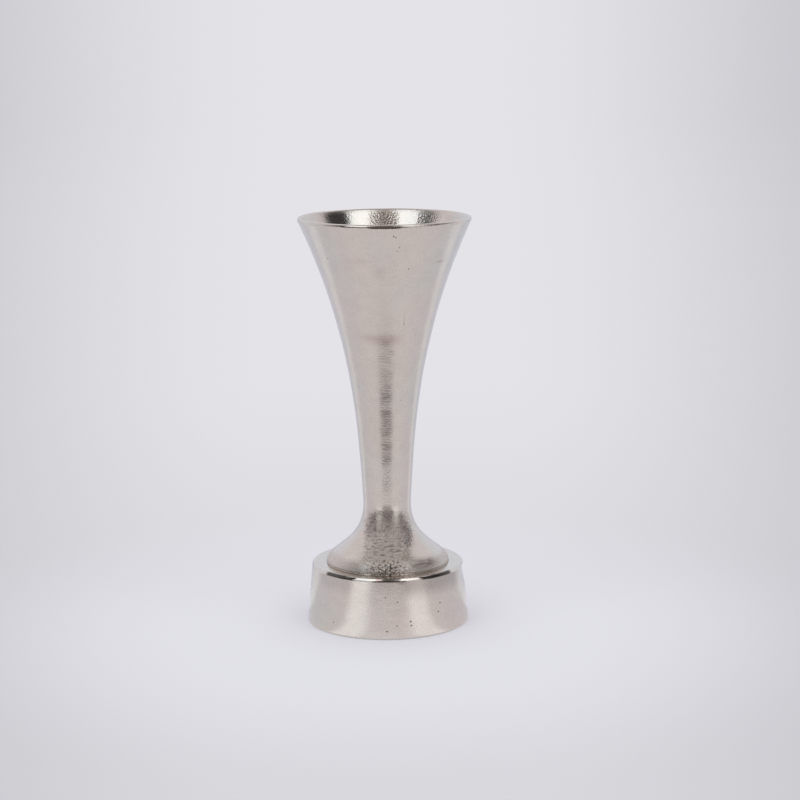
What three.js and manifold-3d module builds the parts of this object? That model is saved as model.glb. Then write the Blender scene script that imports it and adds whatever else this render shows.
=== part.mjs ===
// A trumpet vase of cast, nickel-finished aluminium on a stepped plinth.
// The flared vessel is one casting that ends in a domed foot. It stands on the plinth, a hollow casting,
// and one stud, two washers and a nut inside the plinth draw the two together.
// A fibreboard disc faced with felt closes the plinth from below, and the felt is what meets the table.
// Millimetres, +Z up. The origin is the centre of the felt's underside.

import * as THREE from "three";
import { mergeVertices } from "three/addons/utils/BufferGeometryUtils.js";
import Module from "manifold-3d";

// Vessel: the lip, the flare and the waist.
const overallHeight = 330;
const lipRadius = 68.9;
const lipRoundHeight = 3.5;
const lipTopInset = 1.5;
const flareWall = 4;
const flareLean = THREE.MathUtils.degToRad(24.7);
const flareFullness = 0.404;
const neckFullness = 0.272;
const neckLean = THREE.MathUtils.degToRad(3.2);
const waistRadius = 19.5;
const waistRise = 51.5;
const floorFillet = 8;

// Foot: the ogee below the waist, the crease and the flange that stands on the plinth.
const footRadius = 49.8;
const footLean = THREE.MathUtils.degToRad(-8.8);
const footUpperFullness = 0.685;
const footLowerFullness = 0.241;
const footWall = 5;
const flangeHeight = 2.3;
const flangeEdgeRadius = 0.5;
const creaseDepth = 0.6;
const creaseHeight = 0.7;
const coreTopRadius = 17;
const webThickness = 12;

// Plinth: a tapered cup, open below, with a flat ledge round the foot.
const plinthHeight = 48;
const ledgeWidth = 11.8;
const plinthTaper = 4.4;
const shoulderRadius = 2.2;
const plinthWall = 6;
const plateThickness = 5;
const plinthInnerFillet = 4;
const plinthToeRadius = 0.8;
const rebateLip = 3;

// Disc that closes the plinth.
const boardThickness = 2.5;
const feltThickness = 1.5;
const feltProud = 0.5;

// Tie: a metric stud with its nut and washers.
const studRadius = 4;
const studLength = 40;
const studProtrusion = 3;
const studChamfer = 0.8;
const bossWall = 5;
const bossRelief = 3;
const bossChamfer = 0.6;
const washerThickness = 2;
const washerSeat = 2.8;
const springWasherThickness = 2;
const springWasherWidth = 3.2;
const springWasherSplit = 1.6;
const nutSides = 6;
const nutHeight = 6.5;
const nutWall = 2.5;
const nutChamfer = 0.7;
const nutChamferLean = THREE.MathUtils.degToRad(30);

// Clearances.
const seatGap = 0.05;
const glueLine = 0.1;
const threadGap = 0.1;
const washerGap = 0.2;
const spigotGap = 0.2;
const boardGap = 0.3;
const holeEndGap = 0.5;

// Facets round the axis and along each curve.
const roundFacets = 48;
const smallFacets = 24;
const flareSteps = 13;
const footSteps = 10;
const arcSteps = 3;

// Heights, from the table up.
const rimBottom = feltProud;
const ledgeHeight = rimBottom + plinthHeight;
const flangeBottom = ledgeHeight + seatGap;
const flangeTop = flangeBottom + flangeHeight;
const creaseTop = flangeTop + creaseHeight;
const waistHeight = ledgeHeight + waistRise;
const lipBottom = overallHeight - lipRoundHeight;
const boardBottom = feltThickness + glueLine;
const boardTop = boardBottom + boardThickness;
const rebateTop = boardTop + glueLine;
const plateUnderside = ledgeHeight - plateThickness;
const washerTop = plateUnderside - seatGap;
const springWasherTop = washerTop - washerThickness - seatGap;
const nutTop = springWasherTop - springWasherThickness - seatGap;
const nutBottom = nutTop - nutHeight;
const studBottom = nutBottom - studProtrusion;
const studTop = studBottom + studLength;
const bossEnd = plateUnderside + bossRelief;

// Radii that follow from what each piece fits.
const tappedRadius = studRadius + threadGap;
const bossRadius = studRadius + bossWall;
const spigotHoleRadius = bossRadius + spigotGap;
const washerRadius = spigotHoleRadius + washerSeat;
const plinthTopRadius = footRadius + ledgeWidth;
const plinthToe = plinthTopRadius + plinthTaper;
const rebateRadius = plinthToe - rebateLip;
const discRadius = rebateRadius - boardGap;

const wasm = await Module();
wasm.setup();

// A point of an outline: distance from the axis, then height.
const at = (radius, height) => new THREE.Vector2(radius, height);

// Points of a quarter round that turns a corner, from one tangent point to the other.
function rounded(from, corner, to) {
  const curve = new THREE.QuadraticBezierCurve(from, corner, to);
  return curve.getPoints(arcSteps);
}

// A curve between two points whose ends lean from the upright by the given angles, with handles that
// reach the given shares of the height between the points.
function leaningCurve(low, lowLean, lowShare, high, highLean, highShare) {
  const rise = high.y - low.y;
  const lowHandle = at(low.x + Math.tan(lowLean) * rise * lowShare, low.y + rise * lowShare);
  const highHandle = at(high.x - Math.tan(highLean) * rise * highShare, high.y - rise * highShare);
  return new THREE.CubicBezierCurve(low, lowHandle, highHandle, high);
}

// Points along a curve moved sideways towards the axis, by a wall's thickness.
function insideOf(curve, wall, steps) {
  const points = [];
  for (let i = 0; i <= steps; i++) {
    const along = curve.getTangent(i / steps);
    points.push(curve.getPoint(i / steps).add(at(-along.y * wall, along.x * wall)));
  }
  return points;
}

// The radius of a rising outline at a height.
function radiusAt(points, height) {
  for (let i = 1; i < points.length; i++) {
    const [low, high] = [points[i - 1], points[i]];
    if (height >= low.y && height <= high.y) {
      return THREE.MathUtils.mapLinear(height, low.y, high.y, low.x, high.x);
    }
  }
  return points[0].x;
}

// The height at which an outline that narrows as it rises reaches a radius.
function heightAt(points, radius) {
  for (let i = 1; i < points.length; i++) {
    const [low, high] = [points[i - 1], points[i]];
    if (radius <= low.x && radius >= high.x) {
      return THREE.MathUtils.mapLinear(radius, low.x, high.x, low.y, high.y);
    }
  }
  return points.at(-1).y;
}

// A turned solid from an outline that runs from axis to axis, or closes on itself.
function turned(outline, facets = roundFacets) {
  return new THREE.LatheGeometry(outline, facets).rotateX(Math.PI / 2);
}

// A flat ring or disc with square edges.
function ring(inner, outer, bottom, top, facets) {
  const outline = inner > 0
    ? [at(inner, bottom), at(outer, bottom), at(outer, top), at(inner, top), at(inner, bottom)]
    : [at(0, bottom), at(outer, bottom), at(outer, top), at(0, top)];
  return turned(outline, facets);
}

function solidFrom(geometry) {
  const bare = geometry.clone();
  bare.deleteAttribute("normal");
  bare.deleteAttribute("uv");
  const merged = mergeVertices(bare);
  return new wasm.Manifold(new wasm.Mesh({
    numProp: 3,
    vertProperties: merged.attributes.position.array,
    triVerts: new Uint32Array(merged.index.array),
  }));
}

function geometryFrom(solid) {
  const mesh = solid.getMesh();
  const geometry = new THREE.BufferGeometry();
  geometry.setAttribute("position", new THREE.BufferAttribute(mesh.vertProperties, mesh.numProp));
  geometry.setIndex(new THREE.BufferAttribute(mesh.triVerts, 1));
  geometry.computeVertexNormals();
  return geometry;
}

// The two outer curves of the vessel meet at the waist with one tangent.
const waist = at(waistRadius, waistHeight);
const flareTop = at(lipRadius, lipBottom);
const flareCurve = leaningCurve(waist, neckLean, neckFullness, flareTop, flareLean, flareFullness);
const footEdge = at(footRadius, creaseTop);
const footCurve = leaningCurve(footEdge, footLean, footLowerFullness, waist, neckLean, footUpperFullness);

// The vessel casting: flare, neck, domed foot, flange, and the tapped boss under the web.
// The lip is a full round between the flare's outer and inner wall.
function vesselOutline() {
  const flareOutside = flareCurve.getPoints(flareSteps);
  const flareInside = insideOf(flareCurve, flareWall, flareSteps);
  const footOutside = footCurve.getPoints(footSteps);
  const footInside = insideOf(footCurve, footWall, footSteps);
  const coreWall = footRadius - footWall;
  const ceiling = heightAt(footInside, coreTopRadius);
  const vesselFloor = ceiling + webThickness;
  const waistInside = flareInside[0];
  const floorEdge = Math.min(floorFillet, waistInside.x / 2);
  const wallFoot = vesselFloor + floorEdge;
  const wallFootRadius = wallFoot > waistInside.y ? radiusAt(flareInside, wallFoot) : waistInside.x;
  const lipInner = radiusAt(flareInside, lipBottom);
  const lipReach = Math.tan(flareLean) * lipRoundHeight;
  const lipTop = at(lipRadius - lipTopInset, overallHeight);
  const creaseMiddle = (flangeTop + creaseTop) / 2;

  const boss = [
    at(0, studTop + holeEndGap),
    at(tappedRadius, studTop + holeEndGap),
    at(tappedRadius, bossEnd),
    at(bossRadius - bossChamfer, bossEnd),
    at(bossRadius, bossEnd + bossChamfer),
    at(bossRadius, ceiling),
  ];
  const core = [
    at(coreTopRadius, ceiling),
    ...footInside.filter((p) => p.y < ceiling && p.x < coreWall).reverse(),
    at(coreWall, flangeBottom),
  ];
  const flange = [
    ...rounded(
      at(footRadius - flangeEdgeRadius, flangeBottom),
      at(footRadius, flangeBottom),
      at(footRadius, flangeBottom + flangeEdgeRadius),
    ),
    ...rounded(
      at(footRadius, flangeTop - flangeEdgeRadius),
      at(footRadius, flangeTop),
      at(footRadius - flangeEdgeRadius, flangeTop),
    ),
    at(footRadius - creaseDepth, creaseMiddle),
  ];
  const outside = [...footOutside, ...flareOutside.slice(1)];
  const lip = [
    ...rounded(flareTop, at(lipRadius + lipReach, overallHeight), lipTop).slice(1),
    ...rounded(lipTop, at(lipInner + lipReach, overallHeight), at(lipInner, lipBottom)).slice(1),
  ];
  const inside = [
    ...flareInside.filter((p) => p.y > wallFoot && p.y < lipBottom).reverse(),
    ...rounded(
      at(wallFootRadius, wallFoot),
      at(wallFootRadius, vesselFloor),
      at(wallFootRadius - floorEdge, vesselFloor),
    ),
    at(0, vesselFloor),
  ];
  return [...boss, ...core, ...flange, ...outside, ...lip, ...inside];
}

// The plinth casting: a tapered wall, a top plate with a hole for the boss, and a rebate below
// for the disc.
function plinthOutline() {
  const lean = plinthTaper / plinthHeight;
  const wallOutside = (height) => plinthTopRadius + lean * (ledgeHeight - height);
  const wallInside = (height) => wallOutside(height) - plinthWall;
  const shoulderBottom = ledgeHeight - shoulderRadius;
  const toeTop = rimBottom + plinthToeRadius;
  const filletBottom = plateUnderside - plinthInnerFillet;
  return [
    at(spigotHoleRadius, ledgeHeight),
    at(spigotHoleRadius, plateUnderside),
    ...rounded(
      at(wallInside(plateUnderside) - plinthInnerFillet, plateUnderside),
      at(wallInside(plateUnderside), plateUnderside),
      at(wallInside(filletBottom), filletBottom),
    ),
    at(wallInside(rebateTop), rebateTop),
    at(rebateRadius, rebateTop),
    at(rebateRadius, rimBottom),
    ...rounded(
      at(wallOutside(rimBottom) - plinthToeRadius, rimBottom),
      at(wallOutside(rimBottom), rimBottom),
      at(wallOutside(toeTop), toeTop),
    ),
    ...rounded(
      at(wallOutside(shoulderBottom), shoulderBottom),
      at(wallOutside(ledgeHeight), ledgeHeight),
      at(wallOutside(ledgeHeight) - shoulderRadius, ledgeHeight),
    ),
    at(spigotHoleRadius, ledgeHeight),
  ];
}

// The stud, a rod at the thread's outer diameter with chamfered ends.
function studOutline() {
  return [
    at(0, studBottom),
    at(studRadius - studChamfer, studBottom),
    at(studRadius, studBottom + studChamfer),
    at(studRadius, studTop - studChamfer),
    at(studRadius - studChamfer, studTop),
    at(0, studTop),
  ];
}

// The spring washer, pressed flat: a ring with one split.
function springWasherGeometry() {
  const inner = studRadius + washerGap;
  const outer = inner + springWasherWidth;
  const halfSplit = springWasherSplit / 2 / inner;
  const shape = new THREE.Shape();
  shape.absarc(0, 0, outer, halfSplit, Math.PI * 2 - halfSplit, false);
  shape.absarc(0, 0, inner, Math.PI * 2 - halfSplit, halfSplit, true);
  const settings = { depth: springWasherThickness, bevelEnabled: false, curveSegments: smallFacets };
  const bottom = springWasherTop - springWasherThickness;
  return new THREE.ExtrudeGeometry(shape, settings).translate(0, 0, bottom);
}

// The nut: a hexagonal bar with a bore, its corners turned off at both faces.
function nutGeometry() {
  const halfSide = Math.PI / nutSides;
  const cornerRadius = (tappedRadius + nutWall) / Math.cos(halfSide);
  const shape = new THREE.Shape();
  for (let i = 0; i < nutSides; i++) {
    const angle = 2 * halfSide * i;
    const corner = [cornerRadius * Math.cos(angle), cornerRadius * Math.sin(angle)];
    if (i) shape.lineTo(...corner);
    else shape.moveTo(...corner);
  }
  shape.holes.push(new THREE.Path().absarc(0, 0, tappedRadius, 0, Math.PI * 2, true));
  const settings = { depth: nutHeight, bevelEnabled: false, curveSegments: smallFacets };
  const bar = new THREE.ExtrudeGeometry(shape, settings).translate(0, 0, nutBottom);
  const chamferRise = nutChamfer * Math.tan(nutChamferLean);
  const envelope = turned([
    at(0, nutBottom),
    at(cornerRadius - nutChamfer, nutBottom),
    at(cornerRadius, nutBottom + chamferRise),
    at(cornerRadius, nutTop - chamferRise),
    at(cornerRadius - nutChamfer, nutTop),
    at(0, nutTop),
  ]);
  return geometryFrom(solidFrom(bar).intersect(solidFrom(envelope)));
}

const castNickel = new THREE.MeshStandardMaterial({ color: 0xc6bfba, roughness: 0.34, metalness: 1 });
const zincSteel = new THREE.MeshStandardMaterial({ color: 0xaeb2b6, roughness: 0.38, metalness: 1 });
const springSteel = new THREE.MeshStandardMaterial({ color: 0x4c4a48, roughness: 0.45, metalness: 1 });
const fibreboard = new THREE.MeshStandardMaterial({ color: 0x7a5a3c, roughness: 0.9, metalness: 0 });
const felt = new THREE.MeshStandardMaterial({ color: 0x232325, roughness: 1, metalness: 0 });

const vase = new THREE.Group();

function add(name, geometry, material) {
  const mesh = new THREE.Mesh(geometry, material);
  mesh.name = name;
  vase.add(mesh);
}

const washerBore = studRadius + washerGap;
const washerBottom = washerTop - washerThickness;
add("trumpet_vessel", turned(vesselOutline()), castNickel);
add("plinth", turned(plinthOutline()), castNickel);
add("tie_stud", turned(studOutline(), smallFacets), zincSteel);
add("plain_washer", ring(washerBore, washerRadius, washerBottom, washerTop, smallFacets), zincSteel);
add("spring_washer", springWasherGeometry(), springSteel);
add("hex_nut", nutGeometry(), zincSteel);
add("base_board", ring(0, discRadius, boardBottom, boardTop, roundFacets), fibreboard);
add("felt_disc", ring(0, discRadius, 0, feltThickness, roundFacets), felt);

export default vase;
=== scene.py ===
# %% [markdown]
# # A cast trumpet vase on its plinth
# The CAD model gives this vase its pieces at their real size. This lesson gives it its looks: a finely
# turned skin with the unevenness of a hand-finished casting, a warm nickel finish, and the hidden
# hardware and felt below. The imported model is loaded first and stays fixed. Everything made here is in
# metres, in the same frame, so each new piece is built where its CAD piece already is.

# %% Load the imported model
import math
import random

import bmesh
import bpy
from mathutils import Matrix, Quaternion, Vector, noise
from mathutils.bvhtree import BVHTree


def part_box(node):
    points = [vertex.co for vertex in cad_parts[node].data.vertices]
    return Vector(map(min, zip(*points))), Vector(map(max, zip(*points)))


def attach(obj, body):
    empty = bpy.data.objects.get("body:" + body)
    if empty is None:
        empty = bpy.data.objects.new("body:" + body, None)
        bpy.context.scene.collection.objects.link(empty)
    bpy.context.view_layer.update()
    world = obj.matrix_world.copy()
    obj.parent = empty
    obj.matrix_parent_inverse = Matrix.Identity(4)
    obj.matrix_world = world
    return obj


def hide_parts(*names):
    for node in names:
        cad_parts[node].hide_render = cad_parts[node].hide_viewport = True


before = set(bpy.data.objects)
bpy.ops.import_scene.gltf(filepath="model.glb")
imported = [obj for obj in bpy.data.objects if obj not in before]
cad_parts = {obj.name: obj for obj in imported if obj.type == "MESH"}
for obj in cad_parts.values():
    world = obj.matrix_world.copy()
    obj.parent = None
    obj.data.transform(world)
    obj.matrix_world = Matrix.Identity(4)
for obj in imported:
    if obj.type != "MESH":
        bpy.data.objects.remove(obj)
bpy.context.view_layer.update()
scene = bpy.context.scene
scene.view_settings.view_transform = "Standard"
MM = 0.001

# %% [markdown]
# ## The camera
# The picture was taken with a long lens from a little above the lip, so the mouth is a thin ellipse and
# the sides hardly converge. A look-at constraint would be the quick way, but it can't hold the slight roll
# of a hand-levelled tripod. So the camera's three axes are built from its pitch, yaw and roll.

# %% Place the camera
CAMERA_PLACE = Vector((0, -1.6998, 0.4960))
CAMERA_PITCH = math.radians(10.487)
CAMERA_YAW = math.radians(0.377)
CAMERA_ROLL = math.radians(-0.484)
LENS_MM = 96.3
SENSOR_MM = 36


def camera_axes(pitch, yaw, roll):
    """The camera's right, up and back directions as the columns of a matrix."""
    level = math.cos(pitch)
    forward = Vector((math.sin(yaw) * level, math.cos(yaw) * level, -math.sin(pitch)))
    right = forward.cross(Vector((0, 0, 1))).normalized()
    up = right.cross(forward)
    rolled_right = right * math.cos(roll) + up * math.sin(roll)
    rolled_up = up * math.cos(roll) - right * math.sin(roll)
    return Matrix((rolled_right, rolled_up, -forward)).transposed()


camera = bpy.data.objects.new("camera", bpy.data.cameras.new("camera"))
camera.data.lens = LENS_MM
camera.data.sensor_width = SENSOR_MM
camera.matrix_world = Matrix.Translation(CAMERA_PLACE) @ camera_axes(
    CAMERA_PITCH, CAMERA_YAW, CAMERA_ROLL).to_4x4()
scene.collection.objects.link(camera)
scene.camera = camera
print("camera at", [round(c, 3) for c in CAMERA_PLACE], "m, lens", LENS_MM, "mm")

# %% [markdown]
# ## Helpers for shader nodes
# Every finish below is a graph of nodes. Writing each node and link by hand would bury the ideas, so a few
# small helpers do it: one adds a node and fills or links its sockets, and the others add a maths step, ease
# a value between limits, read a noise texture, find a turn round the vase, and blend two colours.

# %% Node helpers


def fill_socket(tree, socket, value):
    """Links another node's output to a socket, or sets a plain number or colour on it."""
    if isinstance(value, bpy.types.NodeSocket):
        tree.links.new(value, socket)
    else:
        socket.default_value = value


def add_node(tree, kind, sockets=None, **settings):
    """Adds a node with its settings, and fills its input sockets by name or number."""
    made = tree.nodes.new(kind)
    for setting, value in settings.items():
        setattr(made, setting, value)
    for socket, value in (sockets or {}).items():
        fill_socket(tree, made.inputs[socket], value)
    return made


def maths(tree, operation, *values, clamp=False):
    """The output of one maths node."""
    sockets = dict(enumerate(values))
    return add_node(tree, "ShaderNodeMath", sockets, operation=operation, use_clamp=clamp).outputs[0]


def ease(tree, value, start, end, low=0.0, high=1.0):
    """Goes smoothly from low to high while the value goes from start to end."""
    sockets = {"Value": value, "From Min": start, "From Max": end, "To Min": low, "To Max": high}
    return add_node(tree, "ShaderNodeMapRange", sockets, interpolation_type="SMOOTHSTEP").outputs["Result"]


def ease_between(tree, value, start, full, fades, ends):
    """Goes smoothly from 0 to 1 and back while the value passes four limits."""
    return maths(tree, "MINIMUM", ease(tree, value, start, full), ease(tree, value, ends, fades))


def vector_maths(tree, operation, sockets, output="Vector"):
    """An output of one vector maths node."""
    return add_node(tree, "ShaderNodeVectorMath", sockets, operation=operation).outputs[output]


def noise_texture(tree, place, scale, detail):
    """The value of one noise texture, from 0 to 1."""
    sockets = {"Vector": place, "Scale": scale, "Detail": detail}
    return add_node(tree, "ShaderNodeTexNoise", sockets).outputs[0]


def turn_round(tree, parts):
    """The turn of a place or direction round the vase, from the camera's side, positive to the right."""
    towards_camera = maths(tree, "MULTIPLY", parts.outputs["Y"], -1.0)
    return maths(tree, "ARCTAN2", parts.outputs["X"], towards_camera)


def blend_colours(tree, share, first, second, blend_type="MIX"):
    """A colour between two, by share."""
    made = add_node(tree, "ShaderNodeMix", data_type="RGBA", blend_type=blend_type)
    for socket, value in ((0, share), (6, first), (7, second)):
        fill_socket(tree, made.inputs[socket], value)
    return made.outputs[2]


print("node helpers ready")

# %% [markdown]
# ## The studio
# Polished metal has hardly any colour of its own: what it shows is the room. This vase stood on a pale
# sheet that ends just in front of it. Two softboxes hang in front, to the left and right of the camera. The
# gap between them and the room to both sides are dark, the ceiling is a middle grey, and the backdrop behind
# is pale. Under the softboxes, and again far out to each side, the room is lit a little. The dark parts draw
# the broken streak down the neck, the patch on the foot and the black line on the plinth's shoulder.
# A picture of a room could stand for all that. Here the world is built from directions with soft limits,
# because each limit can then be moved alone. It shows that room to mirror-like rays only. Other rays see
# a plain even light, and the camera sees the pale backdrop.

# %% Light the world
BACKDROP = (0.765, 0.755, 0.795, 1)
BACK_IN_METAL = (0.76, 0.735, 0.78, 1)
GAP_LOW = (0.42, 0.41, 0.42, 1)
FRONT_GAP = (0.080, 0.066, 0.061, 1)
GAP_HIGH = (0.20, 0.162, 0.146, 1)
LOW_LIGHT = (0.66, 0.66, 0.685, 1)
SIDE_DARK = (0.04, 0.039, 0.041, 1)
CEILING = (0.34, 0.315, 0.305, 1)
FILL = (0.81, 0.805, 0.82, 1)


def turn_limits(*degrees):
    """Limits round the vase, given in degrees, as radians."""
    return [math.radians(angle) for angle in degrees]


def rise_limits(*degrees):
    """Limits above the horizon, given in degrees, as the upward share of a direction."""
    return [math.sin(math.radians(angle)) for angle in degrees]


GAP_LOW_RISES = rise_limits(0, 7)
GAP_HIGH_RISES = rise_limits(30, 42)
SIDE_SHIFT = math.radians(9)
SIDE_TURNS = turn_limits(36, 56)
BACK_TURNS = turn_limits(86, 104)
CEILING_RISES = rise_limits(57, 67)
LAMP_TURNS, LAMP_RISES = turn_limits(20, 30, 48, 58), rise_limits(36, 29)
WING_TURNS, WING_RISES = turn_limits(76, 84, 106, 120), rise_limits(20, 10)


def build_world():
    """The room as a background by direction, with its own answer for each kind of ray."""
    world = bpy.data.worlds.new("studio")
    world.use_nodes = True
    tree = world.node_tree
    tree.nodes.clear()
    direction = add_node(tree, "ShaderNodeTexCoord").outputs["Generated"]
    parts = add_node(tree, "ShaderNodeSeparateXYZ", {0: direction})
    rise = parts.outputs["Z"]
    signed_turn = turn_round(tree, parts)
    turn = maths(tree, "ABSOLUTE", signed_turn)
    side_turn = maths(tree, "ABSOLUTE", maths(tree, "SUBTRACT", signed_turn, SIDE_SHIFT))
    front = blend_colours(tree, ease(tree, rise, *GAP_LOW_RISES), GAP_LOW, FRONT_GAP)
    front = blend_colours(tree, ease(tree, rise, *GAP_HIGH_RISES), front, GAP_HIGH)
    room = blend_colours(tree, ease(tree, side_turn, *SIDE_TURNS), front, SIDE_DARK)
    room = blend_colours(tree, ease(tree, side_turn, *BACK_TURNS), room, BACK_IN_METAL)
    lamps = maths(tree, "MULTIPLY", ease_between(tree, turn, *LAMP_TURNS), ease(tree, rise, *LAMP_RISES))
    wings = maths(tree, "MULTIPLY", ease_between(tree, turn, *WING_TURNS), ease(tree, rise, *WING_RISES))
    room = blend_colours(tree, maths(tree, "MAXIMUM", lamps, wings), room, LOW_LIGHT)
    room = blend_colours(tree, ease(tree, rise, *CEILING_RISES), room, CEILING)
    path = add_node(tree, "ShaderNodeLightPath")
    seen = blend_colours(tree, path.outputs["Is Glossy Ray"], FILL, room)
    seen = blend_colours(tree, path.outputs["Is Camera Ray"], seen, BACKDROP)
    light = add_node(tree, "ShaderNodeBackground", {"Color": seen, "Strength": 1.0})
    add_node(tree, "ShaderNodeOutputWorld", {"Surface": light.outputs[0]})
    scene.world = world


build_world()
print("world: pale backdrop, dim gap in front and dark sides for reflections")

# %% [markdown]
# ### The floor
# The floor is one wide sheet that sweeps up far behind the vase, so that no horizon shows. Near the vase
# it takes real light and shadow, and further out it turns into a pale glow with a painted falloff of light:
# a little darker to the left and right, and paler far behind. For mirror-like rays it ends in front where
# the real sheet ended. A second sheet for those rays would do the same, but one material keeps both in
# step. From below, the camera looks through the floor at the felt.

# %% The floor's glow, with painted falloff
FLOOR_TONE = (0.69, 0.682, 0.722, 1)
FLOOR_FAR_TONE = (0.775, 0.765, 0.805, 1)
FLOOR_EDGE_TONE = (0.555, 0.547, 0.585, 1)
NEAR_DEPTHS, NEAR_WIDENS = (-0.45, 1.2), 0.12
FAR_DEPTHS, FAR_WIDENS = (1.5, 8.0), 0.14
LENS_REACH, LEAST_REACH = 1.75, 1.0
VIEW_DEPTHS = (-1.2, -0.5)
FRONT_DEPTHS = (-2.5, -9.0)
EDGE_SHARES = (0.055, 0.32)


def floor_tone(tree, place):
    """Painted falloff of light in the sheet's glow: paler far behind, darker to the picture's sides."""
    depth = place.outputs["Y"]
    near = ease(tree, depth, *NEAR_DEPTHS)
    far = ease(tree, depth, *FAR_DEPTHS)
    tone = blend_colours(tree, near, FLOOR_TONE, FLOOR_FAR_TONE)
    reach = maths(tree, "MAXIMUM", maths(tree, "ADD", LENS_REACH, depth), LEAST_REACH)
    sideways = maths(tree, "DIVIDE", maths(tree, "ABSOLUTE", place.outputs["X"]), reach)
    widen = maths(tree, "MULTIPLY_ADD", far, FAR_WIDENS, maths(tree, "MULTIPLY_ADD", near, NEAR_WIDENS, 1.0))
    sideways = maths(tree, "MULTIPLY", sideways, widen)
    edge = maths(tree, "MULTIPLY", ease(tree, sideways, *EDGE_SHARES), ease(tree, depth, *VIEW_DEPTHS))
    tone = blend_colours(tree, edge, tone, FLOOR_EDGE_TONE)
    return blend_colours(tree, ease(tree, depth, *FRONT_DEPTHS), tone, BACKDROP)


print("floor tone ready, from", FLOOR_TONE[0], "near to", FLOOR_FAR_TONE[0], "far")

# %% [markdown]
# ### The floor in the metal
# The vase mirrors the floor from all round, so this is where most of its colour comes from. The sheet is
# warm in front and cooler to the sides and behind. Past its front edge the dark gap shows. At a grazing
# angle a smooth sheet would shine, so the glow that mirror-like rays see gets a painted reflection of the
# two softboxes: a painted sheen close in front and over the gap, and a bright band on each side.

# %% Show the floor to the metal
SHEET_FRONT = -0.42
SHEET_FOLD = 0.04
NEAR_SPANS = (1.10, 0.80)
NEAR_GAP_TURNS = turn_limits(15, 27)
FAR_GAP_SHIFT = math.radians(14)
FAR_GAP_TURNS = turn_limits(42, 50)
METAL_FRONT_TONE = (0.71, 0.70, 0.74, 1)
METAL_SIDE_TONE, SIDE_TONE_TURNS = (0.655, 0.665, 0.725, 1), turn_limits(45, 100)
METAL_LINE_TONE, LINE_TURNS = (0.78, 0.80, 0.865, 1), turn_limits(108, 118)
METAL_BACK_TONE, BEHIND_TURNS = (0.645, 0.672, 0.767, 1), turn_limits(124, 140)
METAL_WALL_TONE, WALL_HEIGHTS = (0.745, 0.785, 0.87, 1), (0.5, 1.5)
# Painted sheen and painted reflection of the softboxes, seen by grazing mirror-like rays.
SHEET_SHEEN = (0.785, 0.765, 0.815, 1)
GAP_SHEEN = (0.51, 0.49, 0.52, 1)
BAND_SHEEN, BAND_TURNS = (0.985, 1.0, 1.06, 1), turn_limits(21, 33, 47, 59)
IN_FRONT_TURNS, CLOSE_DEPTHS = turn_limits(47, 21), (-0.36, -0.26)
SHEEN_FACINGS = [1 - rise for rise in rise_limits(15, 8)]


def floor_in_metal(tree, place, span):
    """The floor as polished metal shows it. span is the distance from the middle of the vase's foot."""
    depth = place.outputs["Y"]
    signed_turn = turn_round(tree, place)
    turn = maths(tree, "ABSOLUTE", signed_turn)
    near = ease(tree, span, *NEAR_SPANS)
    near_lit = maths(tree, "MULTIPLY", ease(tree, turn, *NEAR_GAP_TURNS), near)
    far_turn = maths(tree, "ABSOLUTE", maths(tree, "ADD", signed_turn, FAR_GAP_SHIFT))
    lit = maths(tree, "MAXIMUM", near_lit, ease(tree, far_turn, *FAR_GAP_TURNS))
    lit = maths(tree, "MAXIMUM", ease(tree, depth, SHEET_FRONT, SHEET_FRONT + SHEET_FOLD), lit)
    tone = blend_colours(tree, ease(tree, turn, *SIDE_TONE_TURNS), METAL_FRONT_TONE, METAL_SIDE_TONE)
    tone = blend_colours(tree, ease(tree, turn, *LINE_TURNS), tone, METAL_LINE_TONE)
    tone = blend_colours(tree, ease(tree, turn, *BEHIND_TURNS), tone, METAL_BACK_TONE)
    # Painted sheen: where the floor is seen at a grazing angle, its glow brightens.
    facing = add_node(tree, "ShaderNodeLayerWeight", {"Blend": 0.5}).outputs["Facing"]
    grazing = maths(tree, "MULTIPLY", ease(tree, facing, *SHEEN_FACINGS), near)
    gap = blend_colours(tree, grazing, FRONT_GAP, GAP_SHEEN)
    close = maths(tree, "MULTIPLY", grazing, ease(tree, depth, *CLOSE_DEPTHS))
    in_front = maths(tree, "MULTIPLY", close, ease(tree, turn, *IN_FRONT_TURNS))
    tone = blend_colours(tree, in_front, tone, SHEET_SHEEN)
    band = maths(tree, "MULTIPLY", ease_between(tree, turn, *BAND_TURNS), grazing)
    tone = blend_colours(tree, band, tone, BAND_SHEEN)
    shown = blend_colours(tree, lit, gap, tone)
    return blend_colours(tree, ease(tree, place.outputs["Z"], *WALL_HEIGHTS), shown, METAL_WALL_TONE)


print("sheet ends", -SHEET_FRONT, "m in front")

# %% Lay the floor
FLOOR_ALBEDO = (0.85, 0.842, 0.888, 1)
NEAR_STARTS, NEAR_ENDS = 0.10, 0.42
NEAR_GLOW = 0.35
FLOOR_HALF = 60.0
FLOOR_DROP = 0.0002
SWEEP_STARTS = 8.0
SWEEP_RADIUS = 2.0
WALL_TOP = 8.0
SWEEP_STEPS = 12


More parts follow.
